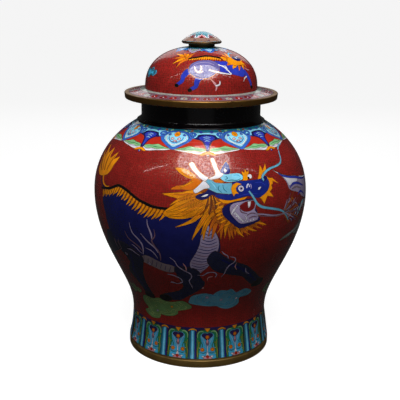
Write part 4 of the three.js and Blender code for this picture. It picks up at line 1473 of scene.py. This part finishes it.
@dataclass
class Rosette:
    """A lotus flower seen from the front, on a scroll of leaves, for the hidden sides."""

    theta: float
    s: float
    size: float = 17.0
    petals: int = 8
    glaze: Glaze = Glaze.PINK

    def draw(self, art: Drawing) -> None:
        """Draws the leaves, two rings of petals and the seed head."""
        scale = float(art.line.per_degree(self.s))

        def at(turn: float, reach: float) -> Point:
            """A point at an angle and a reach in millimetres from the flower's middle."""
            way = math.radians(turn)
            return (self.theta + reach * math.cos(way) / scale, self.s + reach * math.sin(way))

        for turn in (25, 155, 205, 335):
            art.leaf(at(turn, self.size * 0.7), at(turn + 8, self.size * 1.75), self.size * 0.5, Glaze.GREEN, 2.0)
            art.leaf(at(turn, self.size * 0.9), at(turn + 6, self.size * 1.45), self.size * 0.2, Glaze.LEAF, 1.0, 0.4)
        for ring, (reach, wide, paint) in enumerate(((1.0, 0.62, self.glaze), (0.68, 0.46, Glaze.WHITE))):
            for k in range(self.petals):
                turn = (k + 0.5 * ring) * FULL_TURN / self.petals + 90
                art.leaf(at(turn, self.size * 0.12), at(turn, self.size * reach), self.size * wide, paint)
        art.dot(self.theta, self.s, self.size * 0.24, Glaze.YELLOW, 0.5, 12)
        for k in range(6):
            spot = at(k * 60, self.size * 0.13)
            art.dot(spot[0], spot[1], 0.7, Glaze.AMBER, 0.25, 6)


@dataclass
class BeltPicture:
    """The picture belt: the beast at the front, a phoenix at the right, clouds, and flowers at the back."""

    def draw(self, art: Drawing) -> None:
        """Draws the belt's figures."""
        self._clouds(art)
        self._back(art)
        Phoenix().draw(art)
        Beast().draw(art)

    def _clouds(self, art: Drawing) -> None:
        """Draws the clouds under the beast and a few more round the jar."""
        green = Cloud(
            [(-49, 85), (-47, 92), (-43, 95), (-37, 93), (-31, 97.4), (-25, 93.4), (-18, 95), (-12, 98.6), (-7.4, 93),
             (-5.4, 86), (-11, 80.6), (-16, 77.6), (-17, 71.6), (-21, 67), (-27, 65), (-33, 65), (-33.4, 58.6),
             (-38, 55.6), (-43, 55.8), (-48, 59.6), (-49.4, 65), (-44.6, 70), (-48, 77)],
            Glaze.CLOUD_GREEN, Glaze.CLOUD_EDGE,
            ((-43, 87, 4.4, 200, -1), (-30, 89, 4.8, 20, 1), (-13, 90, 4.4, 20, 1), (-25, 73.4, 4.6, 200, -1),
             (-41, 62, 4.2, 0, 1), (-36, 79, 3.6, 90, -1)),
            ((-21, 84, 1.8, Glaze.YELLOW), (-35, 70.6, 1.6, Glaze.LILAC)))
        green.draw(art)
        turquoise = Cloud(
            [(-7, 95), (-6.6, 103), (-5, 110), (0, 115), (5, 116.4), (9, 112.4), (11.6, 118), (15, 121.4), (19, 119.6),
             (22, 122), (25, 115.6), (27, 111), (30, 116), (34, 117), (38.4, 112), (40.2, 107), (37, 101), (32, 101.4),
             (30.4, 97), (31.4, 90), (28.6, 83.6), (22.6, 80.8), (17, 84), (13, 88.6), (7, 89), (1, 91)],
            Glaze.CLOUD_BLUE, Glaze.TURQUOISE,
            ((0, 107, 5.0, 160, -1), (15, 112, 5.0, 120, 1), (33.6, 109, 4.6, 60, 1), (22, 92, 5.0, 220, -1),
             (7, 97, 4.4, 200, 1), (22, 105, 3.4, 0, -1)),
            ((5.6, 107.6, 2.4, Glaze.LILAC), (16, 101, 2.0, Glaze.LILAC), (28, 100, 1.8, Glaze.WHITE)))
        turquoise.draw(art)
        small = (( -57, 99, Glaze.CLOUD_GREEN, Glaze.CLOUD_EDGE, 0.5), (84, 166, Glaze.CLOUD_BLUE, Glaze.TURQUOISE, 0.7),
                 (-90, 226, Glaze.CLOUD_GREEN, Glaze.CLOUD_EDGE, 0.62), (70, 96, Glaze.CLOUD_GREEN, Glaze.CLOUD_EDGE, 0.8),
                 (-84, 128, Glaze.CLOUD_BLUE, Glaze.TURQUOISE, 0.9), (-90, 268, Glaze.CLOUD_BLUE, Glaze.TURQUOISE, 0.8),
                 (88, 134, Glaze.CLOUD_GREEN, Glaze.CLOUD_EDGE, 0.8), (146, 90, Glaze.CLOUD_BLUE, Glaze.TURQUOISE, 0.8),
                 (-150, 96, Glaze.CLOUD_GREEN, Glaze.CLOUD_EDGE, 0.9), (150, 312, Glaze.CLOUD_GREEN, Glaze.CLOUD_EDGE, 0.7),
                 (-128, 306, Glaze.CLOUD_GREEN, Glaze.CLOUD_EDGE, 0.7), (-112, 74, Glaze.CLOUD_GREEN, Glaze.CLOUD_EDGE, 0.6),
                 (108, 70, Glaze.CLOUD_BLUE, Glaze.TURQUOISE, 0.6), (178, 226, Glaze.CLOUD_BLUE, Glaze.TURQUOISE, 0.8))
        for theta, s, glaze, edge, size in small:
            self._small_cloud(art, theta, s, glaze, edge, size)

    def _small_cloud(self, art: Drawing, theta: float, s: float, glaze: Glaze, edge: Glaze, size: float) -> None:
        """Draws one small cloud about a place."""
        half = ((-13, 0), (-12, 7), (-7, 9), (-3, 6.4), (0, 11), (5, 10), (7, 5.4), (12, 7), (14.6, 1.4), (10, -4),
                (4, -3), (0, -7.6), (-5, -7), (-8, -3.4))
        scale = 2.2 / float(art.line.per_degree(s))
        shape = [(theta + x * size * scale * 1.25, s + y * size * 1.9) for x, y in half]
        Cloud(shape, glaze, edge,
              ((theta - 9 * size * scale, s + 4.6 * size, 6.4 * size, 180, -1),
               (theta + 2.6 * size * scale, s + 10 * size, 6.0 * size, 40, 1),
               (theta + 12 * size * scale, s + 3 * size, 5.6 * size, 0, 1),
               (theta - 2.6 * size * scale, s - 5 * size, 5.0 * size, 240, -1))).draw(art)

    def _back(self, art: Drawing) -> None:
        """Draws the plainer flowers that finish the hidden sides."""
        for theta, s, size, glaze in ((-104, 196, 22, Glaze.PINK), (-142, 246, 20, Glaze.WHITE),
                                      (-152, 166, 19, Glaze.LILAC), (132, 236, 21, Glaze.PINK),
                                      (124, 160, 19, Glaze.WHITE), (170, 292, 16, Glaze.LILAC),
                                      (172, 138, 17, Glaze.PINK), (-106, 126, 15, Glaze.LILAC),
                                      (-98, 312, 15, Glaze.PINK)):
            Rosette(theta, s, size, glaze=glaze).draw(art)


@dataclass
class FlangeBorder:
    """The petal border on the lid's flange."""

    petals: int = 40

    def draw(self, art: Drawing) -> None:
        """Draws the petals and the grey ring inside them."""
        art.ring(21.2, 6.4, Glaze.GREY)
        pitch = FULL_TURN / self.petals
        for k in range(self.petals):
            art.shift = (k - self.petals // 2 + 0.5) * pitch
            art.blob([(-2.4, 3.4), (0, 2.6), (2.4, 3.4), (2.9, 8), (1.8, 11.6), (0, 13.2), (-1.8, 11.6), (-2.9, 8)],
                     (Glaze.DARK_RED, Glaze.BRICK, Glaze.GREY, Glaze.BRICK)[k % 4], 2, 0.45)
            art.dot(0, 7.4, 1.3, Glaze.SCARLET if k % 4 == 2 else Glaze.WHITE, 0.35, 8)
            art.dot(pitch / 2, 13.8, 1.0, Glaze.TEAL, 0.35, 8)
            art.dot(pitch / 2, 4.2, 0.9, Glaze.MAUVE, 0.3, 8)
        art.shift = 0.0


@dataclass
class LidPicture:
    """The small beast that leaps over the dome, a cloud and flowers behind, and the pendants round the stem."""

    pendants: int = 10

    def draw(self, art: Drawing) -> None:
        """Draws the dome's figures and ground."""
        self._pendants(art)
        self._beast(art)
        Rosette(150, 34, 13, glaze=Glaze.PINK).draw(art)
        Rosette(-110, 36, 12, glaze=Glaze.LILAC).draw(art)
        cloud = [(-13, 0), (-12, 5), (-7, 7), (-3, 5), (0, 9), (5, 8), (7, 4.6), (12, 5.4), (14, 1), (9, -3), (3, -2.6),
                 (0, -6), (-5, -5.4), (-8, -2.6)]
        for theta, s, glaze, edge in ((104, 30, Glaze.GREEN, Glaze.LEAF), (-68, 26, Glaze.TURQUOISE, Glaze.TEAL),
                                      (-158, 30, Glaze.TURQUOISE, Glaze.TEAL)):
            shape = [(theta + x * 0.95, s + y * 1.1) for x, y in cloud]
            Cloud(shape, glaze, edge, ((theta - 8, s + 2.4, 3.4, 180, -1), (theta + 2.4, s + 4.4, 3.4, 40, 1),
                                       (theta + 9, s + 1.6, 3.0, 0, 1))).draw(art)

    def _pendants(self, art: Drawing) -> None:
        """Draws the hanging border under the knob."""
        art.ring((90 + art.high) / 2, art.high - 90, Glaze.TEAL, 0.5)
        pitch = FULL_TURN / self.pendants
        for k in range(self.pendants):
            art.shift = (k - self.pendants // 2 + 0.5) * pitch
            art.blob([(-17, 91), (-16, 85), (-9, 81), (0, 74.6), (9, 81), (16, 85), (17, 91)],
                     Glaze.MID_BLUE if k % 2 else Glaze.LILAC, 2, 0.5)
            art.blob([(-9, 90), (-8, 86.6), (0, 79.4), (8, 86.6), (9, 90)], Glaze.PALE_BLUE if k % 2 else Glaze.GREY, 2,
                     0.45)
            art.dot(pitch / 2, 84.6, 2.3, Glaze.TURQUOISE, 0.45)
        art.shift = 0.0

    def _beast(self, art: Drawing) -> None:
        """Draws the small beast."""
        for tip, width, dark in (((-44, 68), 6, False), ((-40, 56), 6.5, True), ((-36, 46), 6, False),
                                 ((-29, 40), 5.5, True), ((-31, 72), 5.5, True), ((-22, 71), 5, False),
                                 ((-11, 73), 4.5, True)):
            middle = ((tip[0] - 21) / 2, (tip[1] + 60) / 2 + 1.5)
            art.stroke([(-19, 57), middle, tip], (4.5, width, width * 0.6, 0.5),
                       Glaze.ORANGE if dark else Glaze.YELLOW, 4, 0.45)
        leg = (12, 9.4, 7.4, 5.4, 4.4)
        bands(art, (
            ([(-7, 36), (-14.6, 33.5), (-18.4, 26.4), (-19.4, 19.4), (-24, 14)], leg, Glaze.ROYAL),
            ([(5, 30), (-2, 25.4), (-4.4, 18), (-5.4, 12), (-10.4, 8)], leg, Glaze.ROYAL),
            ([(44, 40), (52, 32), (57, 20), (60, 9)], (13, 9, 6, 4.4), Glaze.ROYAL)), 0.5)
        for theta, s in ((-24.6, 12.6), (-11, 6.8), (60.6, 7)):
            art.dot(theta, s, 3.0, Glaze.BLACK, 0.45, 10, 0.8)
        art.blob([(14, 53), (24, 52), (34, 51), (40, 44), (50, 42), (54, 33), (49, 24), (42, 26), (34, 29), (22, 33),
                  (14, 40)], Glaze.ROYAL, 2)
        art.blob([(-14, 38), (-12, 47), (-5, 53), (4, 55), (13, 54), (20, 48), (20, 38), (13, 29), (5, 24), (-4, 25),
                  (-11, 30)], Glaze.HAZE, 2)
        bands(art, (
            ([(-11, 39), (-8, 46), (-1, 50), (8, 50), (15, 46)], (0.6, 0.9, 0.6), Glaze.LILAC),
            ([(-7, 30), (0, 27), (8, 28), (14, 33)], (0.6, 0.9, 0.6), Glaze.LILAC),
            ([(4, 44), (9, 45), (13, 42)], (0.6, 1.0, 0.6), Glaze.LILAC)), 0.0)
        for k in range(14):
            theta = -15 + k * 3.1
            art.leaf((theta + 1.2, 60.5 + 3.4 * math.sin(math.radians((theta + 17) * 4))),
                     (theta - 0.6, 53.0 + 2.6 * math.sin(math.radians((theta + 17) * 4))), 3.4, Glaze.YELLOW, 0, 0.4)
        art.stroke([(-18, 58), (-10, 60.4), (-4, 62.6), (4, 65), (12, 65), (20, 62.6), (28, 58.6)], (2.2, 3.4, 2.6),
                   Glaze.BLACK)
        for points, width, dark in (
                ([(38, 50), (32, 58), (28, 63)], 7, False), ([(42, 52), (37, 62), (34, 70)], 7, True),
                ([(46, 54), (43, 64), (42, 72)], 6, False), ([(42, 48), (36, 47), (31, 44)], 6, True),
                ([(46, 46), (41, 42), (37, 37.6)], 6, False), ([(50, 46), (48, 40), (45, 34)], 5.5, True),
                ([(56, 48), (55, 41), (53, 35)], 5, False), ([(61, 48), (61, 42), (60, 37)], 4.6, True)):
            art.stroke(points, (width * 0.8, width, 0.5), Glaze.ORANGE if dark else Glaze.YELLOW, 4, 0.4)
        art.blob([(34, 50), (38, 58), (46, 60), (54, 56), (62, 52), (66, 47), (60, 43), (52, 43), (44, 43), (38, 45)],
                 Glaze.YELLOW, 2)
        art.blob([(46, 57), (51, 62), (58, 60), (63, 55), (60, 51), (52, 51)], Glaze.NAVY, 2, 0.45)
        bands(art, (
            ([(44, 60), (48, 67), (54, 71), (62, 69)], (1.4, 3.0, 2.6, 1.0), Glaze.TURQUOISE),
            ([(58, 59), (64, 61), (68, 58)], (1.2, 2.0, 0.9), Glaze.LILAC),
            ([(62, 52), (67, 50), (70, 45)], (1.0, 1.8, 0.8), Glaze.PINK)), 0.4)
        art.dot(55, 57.4, 1.8, Glaze.WHITE, 0.35, 10)
        art.dot(55.2, 57.4, 0.8, Glaze.BLACK, 0, 8)
        art.blob([(60, 49.5), (65, 49), (66.4, 45.4), (62, 44.4)], Glaze.SCARLET, 2, 0.4)
        bands(art, (
            ([(-8, 43), (-6, 36), (-2, 33), (2, 35)], (1.2, 2.6, 1.4), Glaze.WHITE),
            ([(-2, 33), (0, 40), (-1, 45)], (1.6, 2.2, 1.0), Glaze.WHITE),
            ([(8, 37.4), (15, 34), (24, 31), (32, 29)], (1.8, 2.6, 2.2, 1.4), Glaze.WHITE),
            ([(20, 46), (26, 42), (30, 35), (33, 29)], (1.2, 2.4, 2.2, 1.2), Glaze.WHITE),
            ([(28, 44), (30, 38)], (1.8, 1.0), Glaze.WHITE),
            ([(9, 23), (13, 17), (15, 11), (14, 6)], (1.0, 3.0, 2.4, 1.0), Glaze.PINK),
            ([(14, 13), (18, 15), (18.6, 20)], (2.0, 2.2, 1.2), Glaze.WHITE),
            ([(54, 24), (50, 22), (47, 17)], (1.2, 2.0, 0.9), Glaze.WHITE),
            ([(56, 38), (60, 34), (64, 33)], (1.0, 2.0, 0.9), Glaze.PINK)), 0.35)


@dataclass
class KnobPetals:
    """The petals on the knob's cap."""

    petals: int = 8

    def draw(self, art: Drawing) -> None:
        """Draws the brown skirt, the pointed petals and the turquoise crown over them."""
        art.ring(4.3, 8.2, Glaze.TAUPE, 0.4)
        pitch = FULL_TURN / self.petals
        for k in range(self.petals):
            art.shift = (k - self.petals // 2) * pitch
            art.blob([(-pitch / 2 + 1.5, 8.4), (pitch / 2 - 1.5, 8.4), (pitch / 2 - 5, 14), (7, 15.4), (0, 20.5),
                      (-7, 15.4), (-pitch / 2 + 5, 14)], Glaze.WHITE, 1, 0.4)
            art.blob([(-16, 8.6), (16, 8.6), (12, 13), (0, 17.8), (-12, 13)], Glaze.MAUVE if k % 2 else Glaze.PINK,
                     1, 0.35)
            art.blob([(-10, 8.8), (10, 8.8), (0, 14)], Glaze.DARK_RED, 1, 0.3)
            art.dot(pitch / 2, 3.2, 1.5, Glaze.MAUVE, 0.35, 8)
        art.shift = 0.0


@dataclass
class FootRing:
    """The brass ring that the body stands on."""

    steps: int = 144
    rounding: float = 0.7

    def build(self) -> bpy.types.Object:
        """Turns the ring with a shallow groove under its upper edge."""
        loop = column_outline("foot_ring")
        inner, outer = min(r for r, _ in loop), max(r for r, _ in loop)
        top = max(z for _, z in loop)
        outline = [(inner, 0.0), (inner, top), (outer - 1.1, top), (outer - 0.5, top - 1.6), (outer - 1.0, top - 2.5),
                   (outer, top - 3.4), (outer, 0.8), (outer - 0.3, 0.0)]
        obj = turned_piece("foot_ring_turned", outline, self.steps, self.rounding)
        finish_piece(obj, Metal.FOOT_BRASS.value.make("foot_brass"), "foot_brass", "foot_ring")
        return obj


@dataclass
class Vessel:
    """The copper body under its enamel, with the foot border, the picture belt and the shoulder collar."""

    steps: int = 120
    waist: float = 50.0
    shoulder: float = 338.0

    def line(self) -> TurnedLine:
        """The enamel's outer line, from the foot to the neck."""
        loop = column_outline("jar_body")
        widest = max(z for r, z in loop if r > 112)
        return TurnedLine(between(loop, (113.4, 14.5), (92.0, widest + 14.4)))

    def copper(self, line: TurnedLine) -> bpy.types.Object:
        """Turns the copper wall behind the enamel, with its neck and floor."""
        loop = column_outline("jar_body")
        inside = TurnedLine(between(loop, (87.9, 368.8), (107.2, 26.8)))
        under = SKIN_DEPTH + ENAMEL_GAP
        outer = line.stations(46, under)
        floor = min(z for _, z in loop)
        neck_top = max(z for _, z in loop)
        outline = [(0.0, floor), (outer[0][0], floor)] + outer[1:]
        outline += [(89.3, 371.5), (89.3, neck_top), (86.3, neck_top), (86.3, 370.1)]
        outline += inside.stations(36) + [(108.6, 17.5), (0.0, 17.5)]
        obj = turned_piece("body_copper", outline, self.steps, 0.0, closed=False)
        finish_piece(obj, Metal.COPPER.value.make("copper"), "body_enamel", "jar_body")
        return obj

    def build(self, enamel: bpy.types.Material) -> None:
        """Builds the copper and its enamel skins."""
        line = self.line()
        self.copper(line)
        foot = Drawing(line, 0.0, self.waist)
        FootLappets().draw(foot)
        finish_piece(EnamelSkin("enamel_foot_border", foot, Glaze.NAVY, 120, 6.0).build(), enamel, "body_enamel")
        belt = Drawing(line, self.waist, self.shoulder)
        BeltPicture().draw(belt)
        finish_piece(EnamelSkin("enamel_picture", belt, Glaze.BRICK, 120, 8.0).build(), enamel, "body_enamel")
        collar = Drawing(line, self.shoulder, line.total)
        ShoulderCollar().draw(collar)
        finish_piece(EnamelSkin("enamel_shoulder", collar, Glaze.BRICK, 120, 7.0).build(), enamel, "body_enamel")


@dataclass
class NeckCollar:
    """The turned collar round the neck, near-black as painted shade from the lid's flange."""

    steps: int = 144

    def build(self) -> bpy.types.Object:
        """Turns the collar with its low foot and crisp lip."""
        loop = column_outline("neck_collar")
        obj = turned_piece("neck_collar_turned", loop, self.steps, 0.5)
        # The collar's near-black finish is painted shade from the lid's flange.
        finish_piece(obj, Metal.DARK_COLLAR.value.make("collar_painted_shade"), "collar_metal", "neck_collar")
        return obj


@dataclass
class Lid:
    """The lid: a copper dome under enamel, its brass band, and the ring that sits in the mouth."""

    steps: int = 120

    def build(self, enamel: bpy.types.Material) -> None:
        """Builds the lid's pieces."""
        loop = column_outline("lid_shell")
        dome = TurnedLine(between(loop, (86.4, 414.9), (0.0, 478.3)), meets_axis=True)
        flange = TurnedLine([(110.7, 410.1), (98.6, 412.5), (86.4, 414.9)])
        inside = TurnedLine(between(loop, (0.0, 475.3), (83.4, 412.5))[::-1], meets_axis=True)
        under = SKIN_DEPTH + ENAMEL_GAP
        outer = dome.stations(34, under)
        skirt = flange.stations(3, under)
        outline = [(0.0, inside.dense[-1][1])] + inside.stations(26)[-2::-1] + [(110.6, 407.1)]
        outline += skirt[:2] + [(outer[0][0], skirt[2][1])] + outer[1:-1] + [(0.0, outer[-1][1])]
        shell = turned_piece("lid_copper", outline, self.steps, 0.0, closed=True)
        finish_piece(shell, Metal.COPPER.value.make("lid_copper"), "lid_enamel", "lid_shell")
        self._band()
        self._locating_ring()
        rim = Drawing(flange, 0.0, flange.total)
        FlangeBorder().draw(rim)
        finish_piece(EnamelSkin("enamel_lid_flange", rim, Glaze.MAUVE, 120, 6.0).build(), enamel, "lid_enamel")
        top = Drawing(dome, 0.0, dome.total - 17.0)
        LidPicture().draw(top)
        finish_piece(EnamelSkin("enamel_lid_dome", top, Glaze.BRICK, 120, 6.0).build(), enamel, "lid_enamel")

    def _band(self) -> None:
        """Turns the brass band from its outline, with rounded edges."""
        loop = column_outline("lid_edge_ring")
        obj = turned_piece("lid_band", loop, 144, 0.6)
        finish_piece(obj, Metal.BAND_BRASS.value.make("band_brass"), "lid_brass", "lid_edge_ring")

    def _locating_ring(self) -> None:
        """Turns the ring that keeps the lid centred in the mouth."""
        loop = column_outline("lid_locating_ring")
        obj = turned_piece("lid_locating_ring_turned", loop, 120, 0.4)
        finish_piece(obj, Metal.BAND_BRASS.value.make("locating_brass"), "lid_brass", "lid_locating_ring")


@dataclass
class Knob:
    """The brass stem with its rim plate, and the enamelled cap."""

    steps: int = 96

    def build(self, enamel: bpy.types.Material) -> None:
        """Builds the stem and the cap."""
        mount = column_outline("knob_mount")
        stem = turned_piece("knob_stem", mount, self.steps, 0.4, closed=False)
        finish_piece(stem, Metal.STEM_BRASS.value.make("stem_brass"), "knob_brass", "knob_mount")
        loop = column_outline("knob_cap")
        line = TurnedLine(between(loop, (29.4, 486.5), (0.0, 500.0)), meets_axis=True)
        core = [(0.0, 486.5)] + line.stations(16, SKIN_DEPTH + ENAMEL_GAP)
        core[1] = (core[1][0], 486.5)
        core[-1] = (0.0, core[-1][1])
        base = turned_piece("knob_cap_copper", core, self.steps, 0.0, closed=True)
        finish_piece(base, Metal.COPPER.value.make("cap_copper"), "knob_brass")
        art = Drawing(line, 0.0, line.total)
        KnobPetals().draw(art)
        cap = EnamelSkin("enamel_knob_cap", art, Glaze.CAP_BLUE, 72, 3.0).build()
        finish_piece(cap, enamel, "knob_enamel", "knob_cap")


@dataclass
class Studio:
    """The pale floor, the soft lights and the camera at the photograph's angle.

    Args:
        distance: From the jar's axis to the camera, in metres.
        eye: Height of the camera in metres.
        pitch: How far it looks down, in degrees.
        roll: How far it is turned about its view, in degrees.
        lens: Focal length in millimetres on a 36 mm sensor.
    """

    distance: float = 1.250
    eye: float = 0.5689
    pitch: float = 14.9
    roll: float = 0.613
    lens: float = 73.02
    target: tuple[float, float, float] = (0.0, -0.146, 0.324)

    def camera(self) -> None:
        """Places the camera."""
        data = bpy.data.cameras.new("camera")
        data.lens, data.sensor_width = self.lens, 36.0
        data.clip_start, data.clip_end = 0.05, 200.0
        obj = bpy.data.objects.new("camera", data)
        bpy.context.scene.collection.objects.link(obj)
        turn = Matrix.Rotation(math.radians(90 - self.pitch), 4, "X") @ Matrix.Rotation(math.radians(self.roll), 4, "Z")
        obj.matrix_world = Matrix.Translation((0, -self.distance, self.eye)) @ turn
        bpy.context.scene.camera = obj

    def soft_box(self, name: str, direction: tuple[float, float, float], distance: float,
                 size: tuple[float, float], power: float) -> bpy.types.Object:
        """Hangs a rectangular light that looks at the jar's shoulder, and hands it back."""
        data = bpy.data.lights.new(name, "AREA")
        data.shape, data.size, data.size_y, data.energy = "RECTANGLE", size[0], size[1], power
        obj = bpy.data.objects.new(name, data)
        bpy.context.scene.collection.objects.link(obj)
        way = Vector(direction).normalized()
        obj.matrix_world = (Matrix.Translation(Vector(self.target) + way * distance)
                            @ way.to_track_quat("Z", "Y").to_matrix().to_4x4())
        return obj

    def tube(self, name: str, first: tuple[float, float, float], last: tuple[float, float, float],
             distance: float, width: float, power: float) -> None:
        """Hangs a thin light from one direction to another, as seen from the jar's shoulder."""
        a, b = (Vector(d).normalized() * distance for d in (first, last))
        data = bpy.data.lights.new(name, "AREA")
        data.shape, data.size, data.size_y, data.energy = "RECTANGLE", (b - a).length, width, power
        obj = bpy.data.objects.new(name, data)
        bpy.context.scene.collection.objects.link(obj)
        along = (b - a).normalized()
        back = ((a + b) / 2).normalized()
        back = (back - along * back.dot(along)).normalized()
        turn = Matrix((along, back.cross(along), back)).transposed().to_4x4()
        obj.matrix_world = Matrix.Translation(Vector(self.target) + (a + b) / 2) @ turn

    def floor(self) -> None:
        """Lays the pale floor."""
        quiet_selection()
        bpy.ops.mesh.primitive_plane_add(size=120.0, location=(0, 0, 0))
        obj = bpy.context.object
        obj.name = "studio_floor"
        board = NodeBoard("pale_floor")
        board.shader.inputs["Base Color"].default_value = (0.30, 0.30, 0.30, 1)
        board.shader.inputs["Roughness"].default_value = 0.9
        board.shader.inputs["Emission Color"].default_value = (1, 1, 1, 1)
        board.shader.inputs["Emission Strength"].default_value = 0.9
        obj.data.materials.append(board.material)
        obj.visible_glossy = False
        obj.visible_diffuse = False

    def build(self) -> None:
        """Sets the whole studio."""
        self.camera()
        self.floor()
        shine = self.soft_box("shine_box", (0.062, -0.455, 0.888), 0.9, (0.86, 0.90), 11.5)
        shine.data.shape = "ELLIPSE"
        shine.visible_diffuse = False
        key = self.soft_box("key_box", (0.04, -0.50, 0.86), 0.9, (0.66, 0.78), 9.0)
        top = self.soft_box("top_fill", (-0.1, -0.3, 0.95), 1.1, (1.2, 1.2), 8.5)
        for light in (key, top):
            light.visible_glossy = False
        self.tube("left_tube", (-0.844, -0.228, 0.485), (-0.517, -0.382, 0.766), 1.6, 0.014, 0.55)
        self.tube("right_tube", (0.458, -0.47, 0.755), (0.82, -0.215, 0.531), 1.6, 0.014, 0.4)
        self.soft_box("front_fill", (0.0, -0.97, 0.12), 2.6, (2.4, 1.4), 0.8)
        self.soft_box("back_fill", (0.0, 0.9, 0.5), 2.4, (2.0, 1.4), 8.0)
        world = bpy.data.worlds.new("studio_air")
        world.use_nodes = True
        world.node_tree.nodes["Background"].inputs["Color"].default_value = (1, 1, 1, 1)
        world.node_tree.nodes["Background"].inputs["Strength"].default_value = 0.03
        bpy.context.scene.world = world
        bpy.context.scene.view_settings.view_transform = "Standard"


def main() -> None:
    """Builds the jar's sub-assemblies in order, then the studio."""
    logging.basicConfig(level=logging.INFO, format="%(relativeCreated)6d ms %(message)s")
    enamel = EnamelFinish().make("fired_enamel")
    FootRing().build()
    Vessel().build(enamel)
    NeckCollar().build()
    Lid().build(enamel)
    Knob().build(enamel)
    Studio().build()


if __name__ == "__main__":
    main()
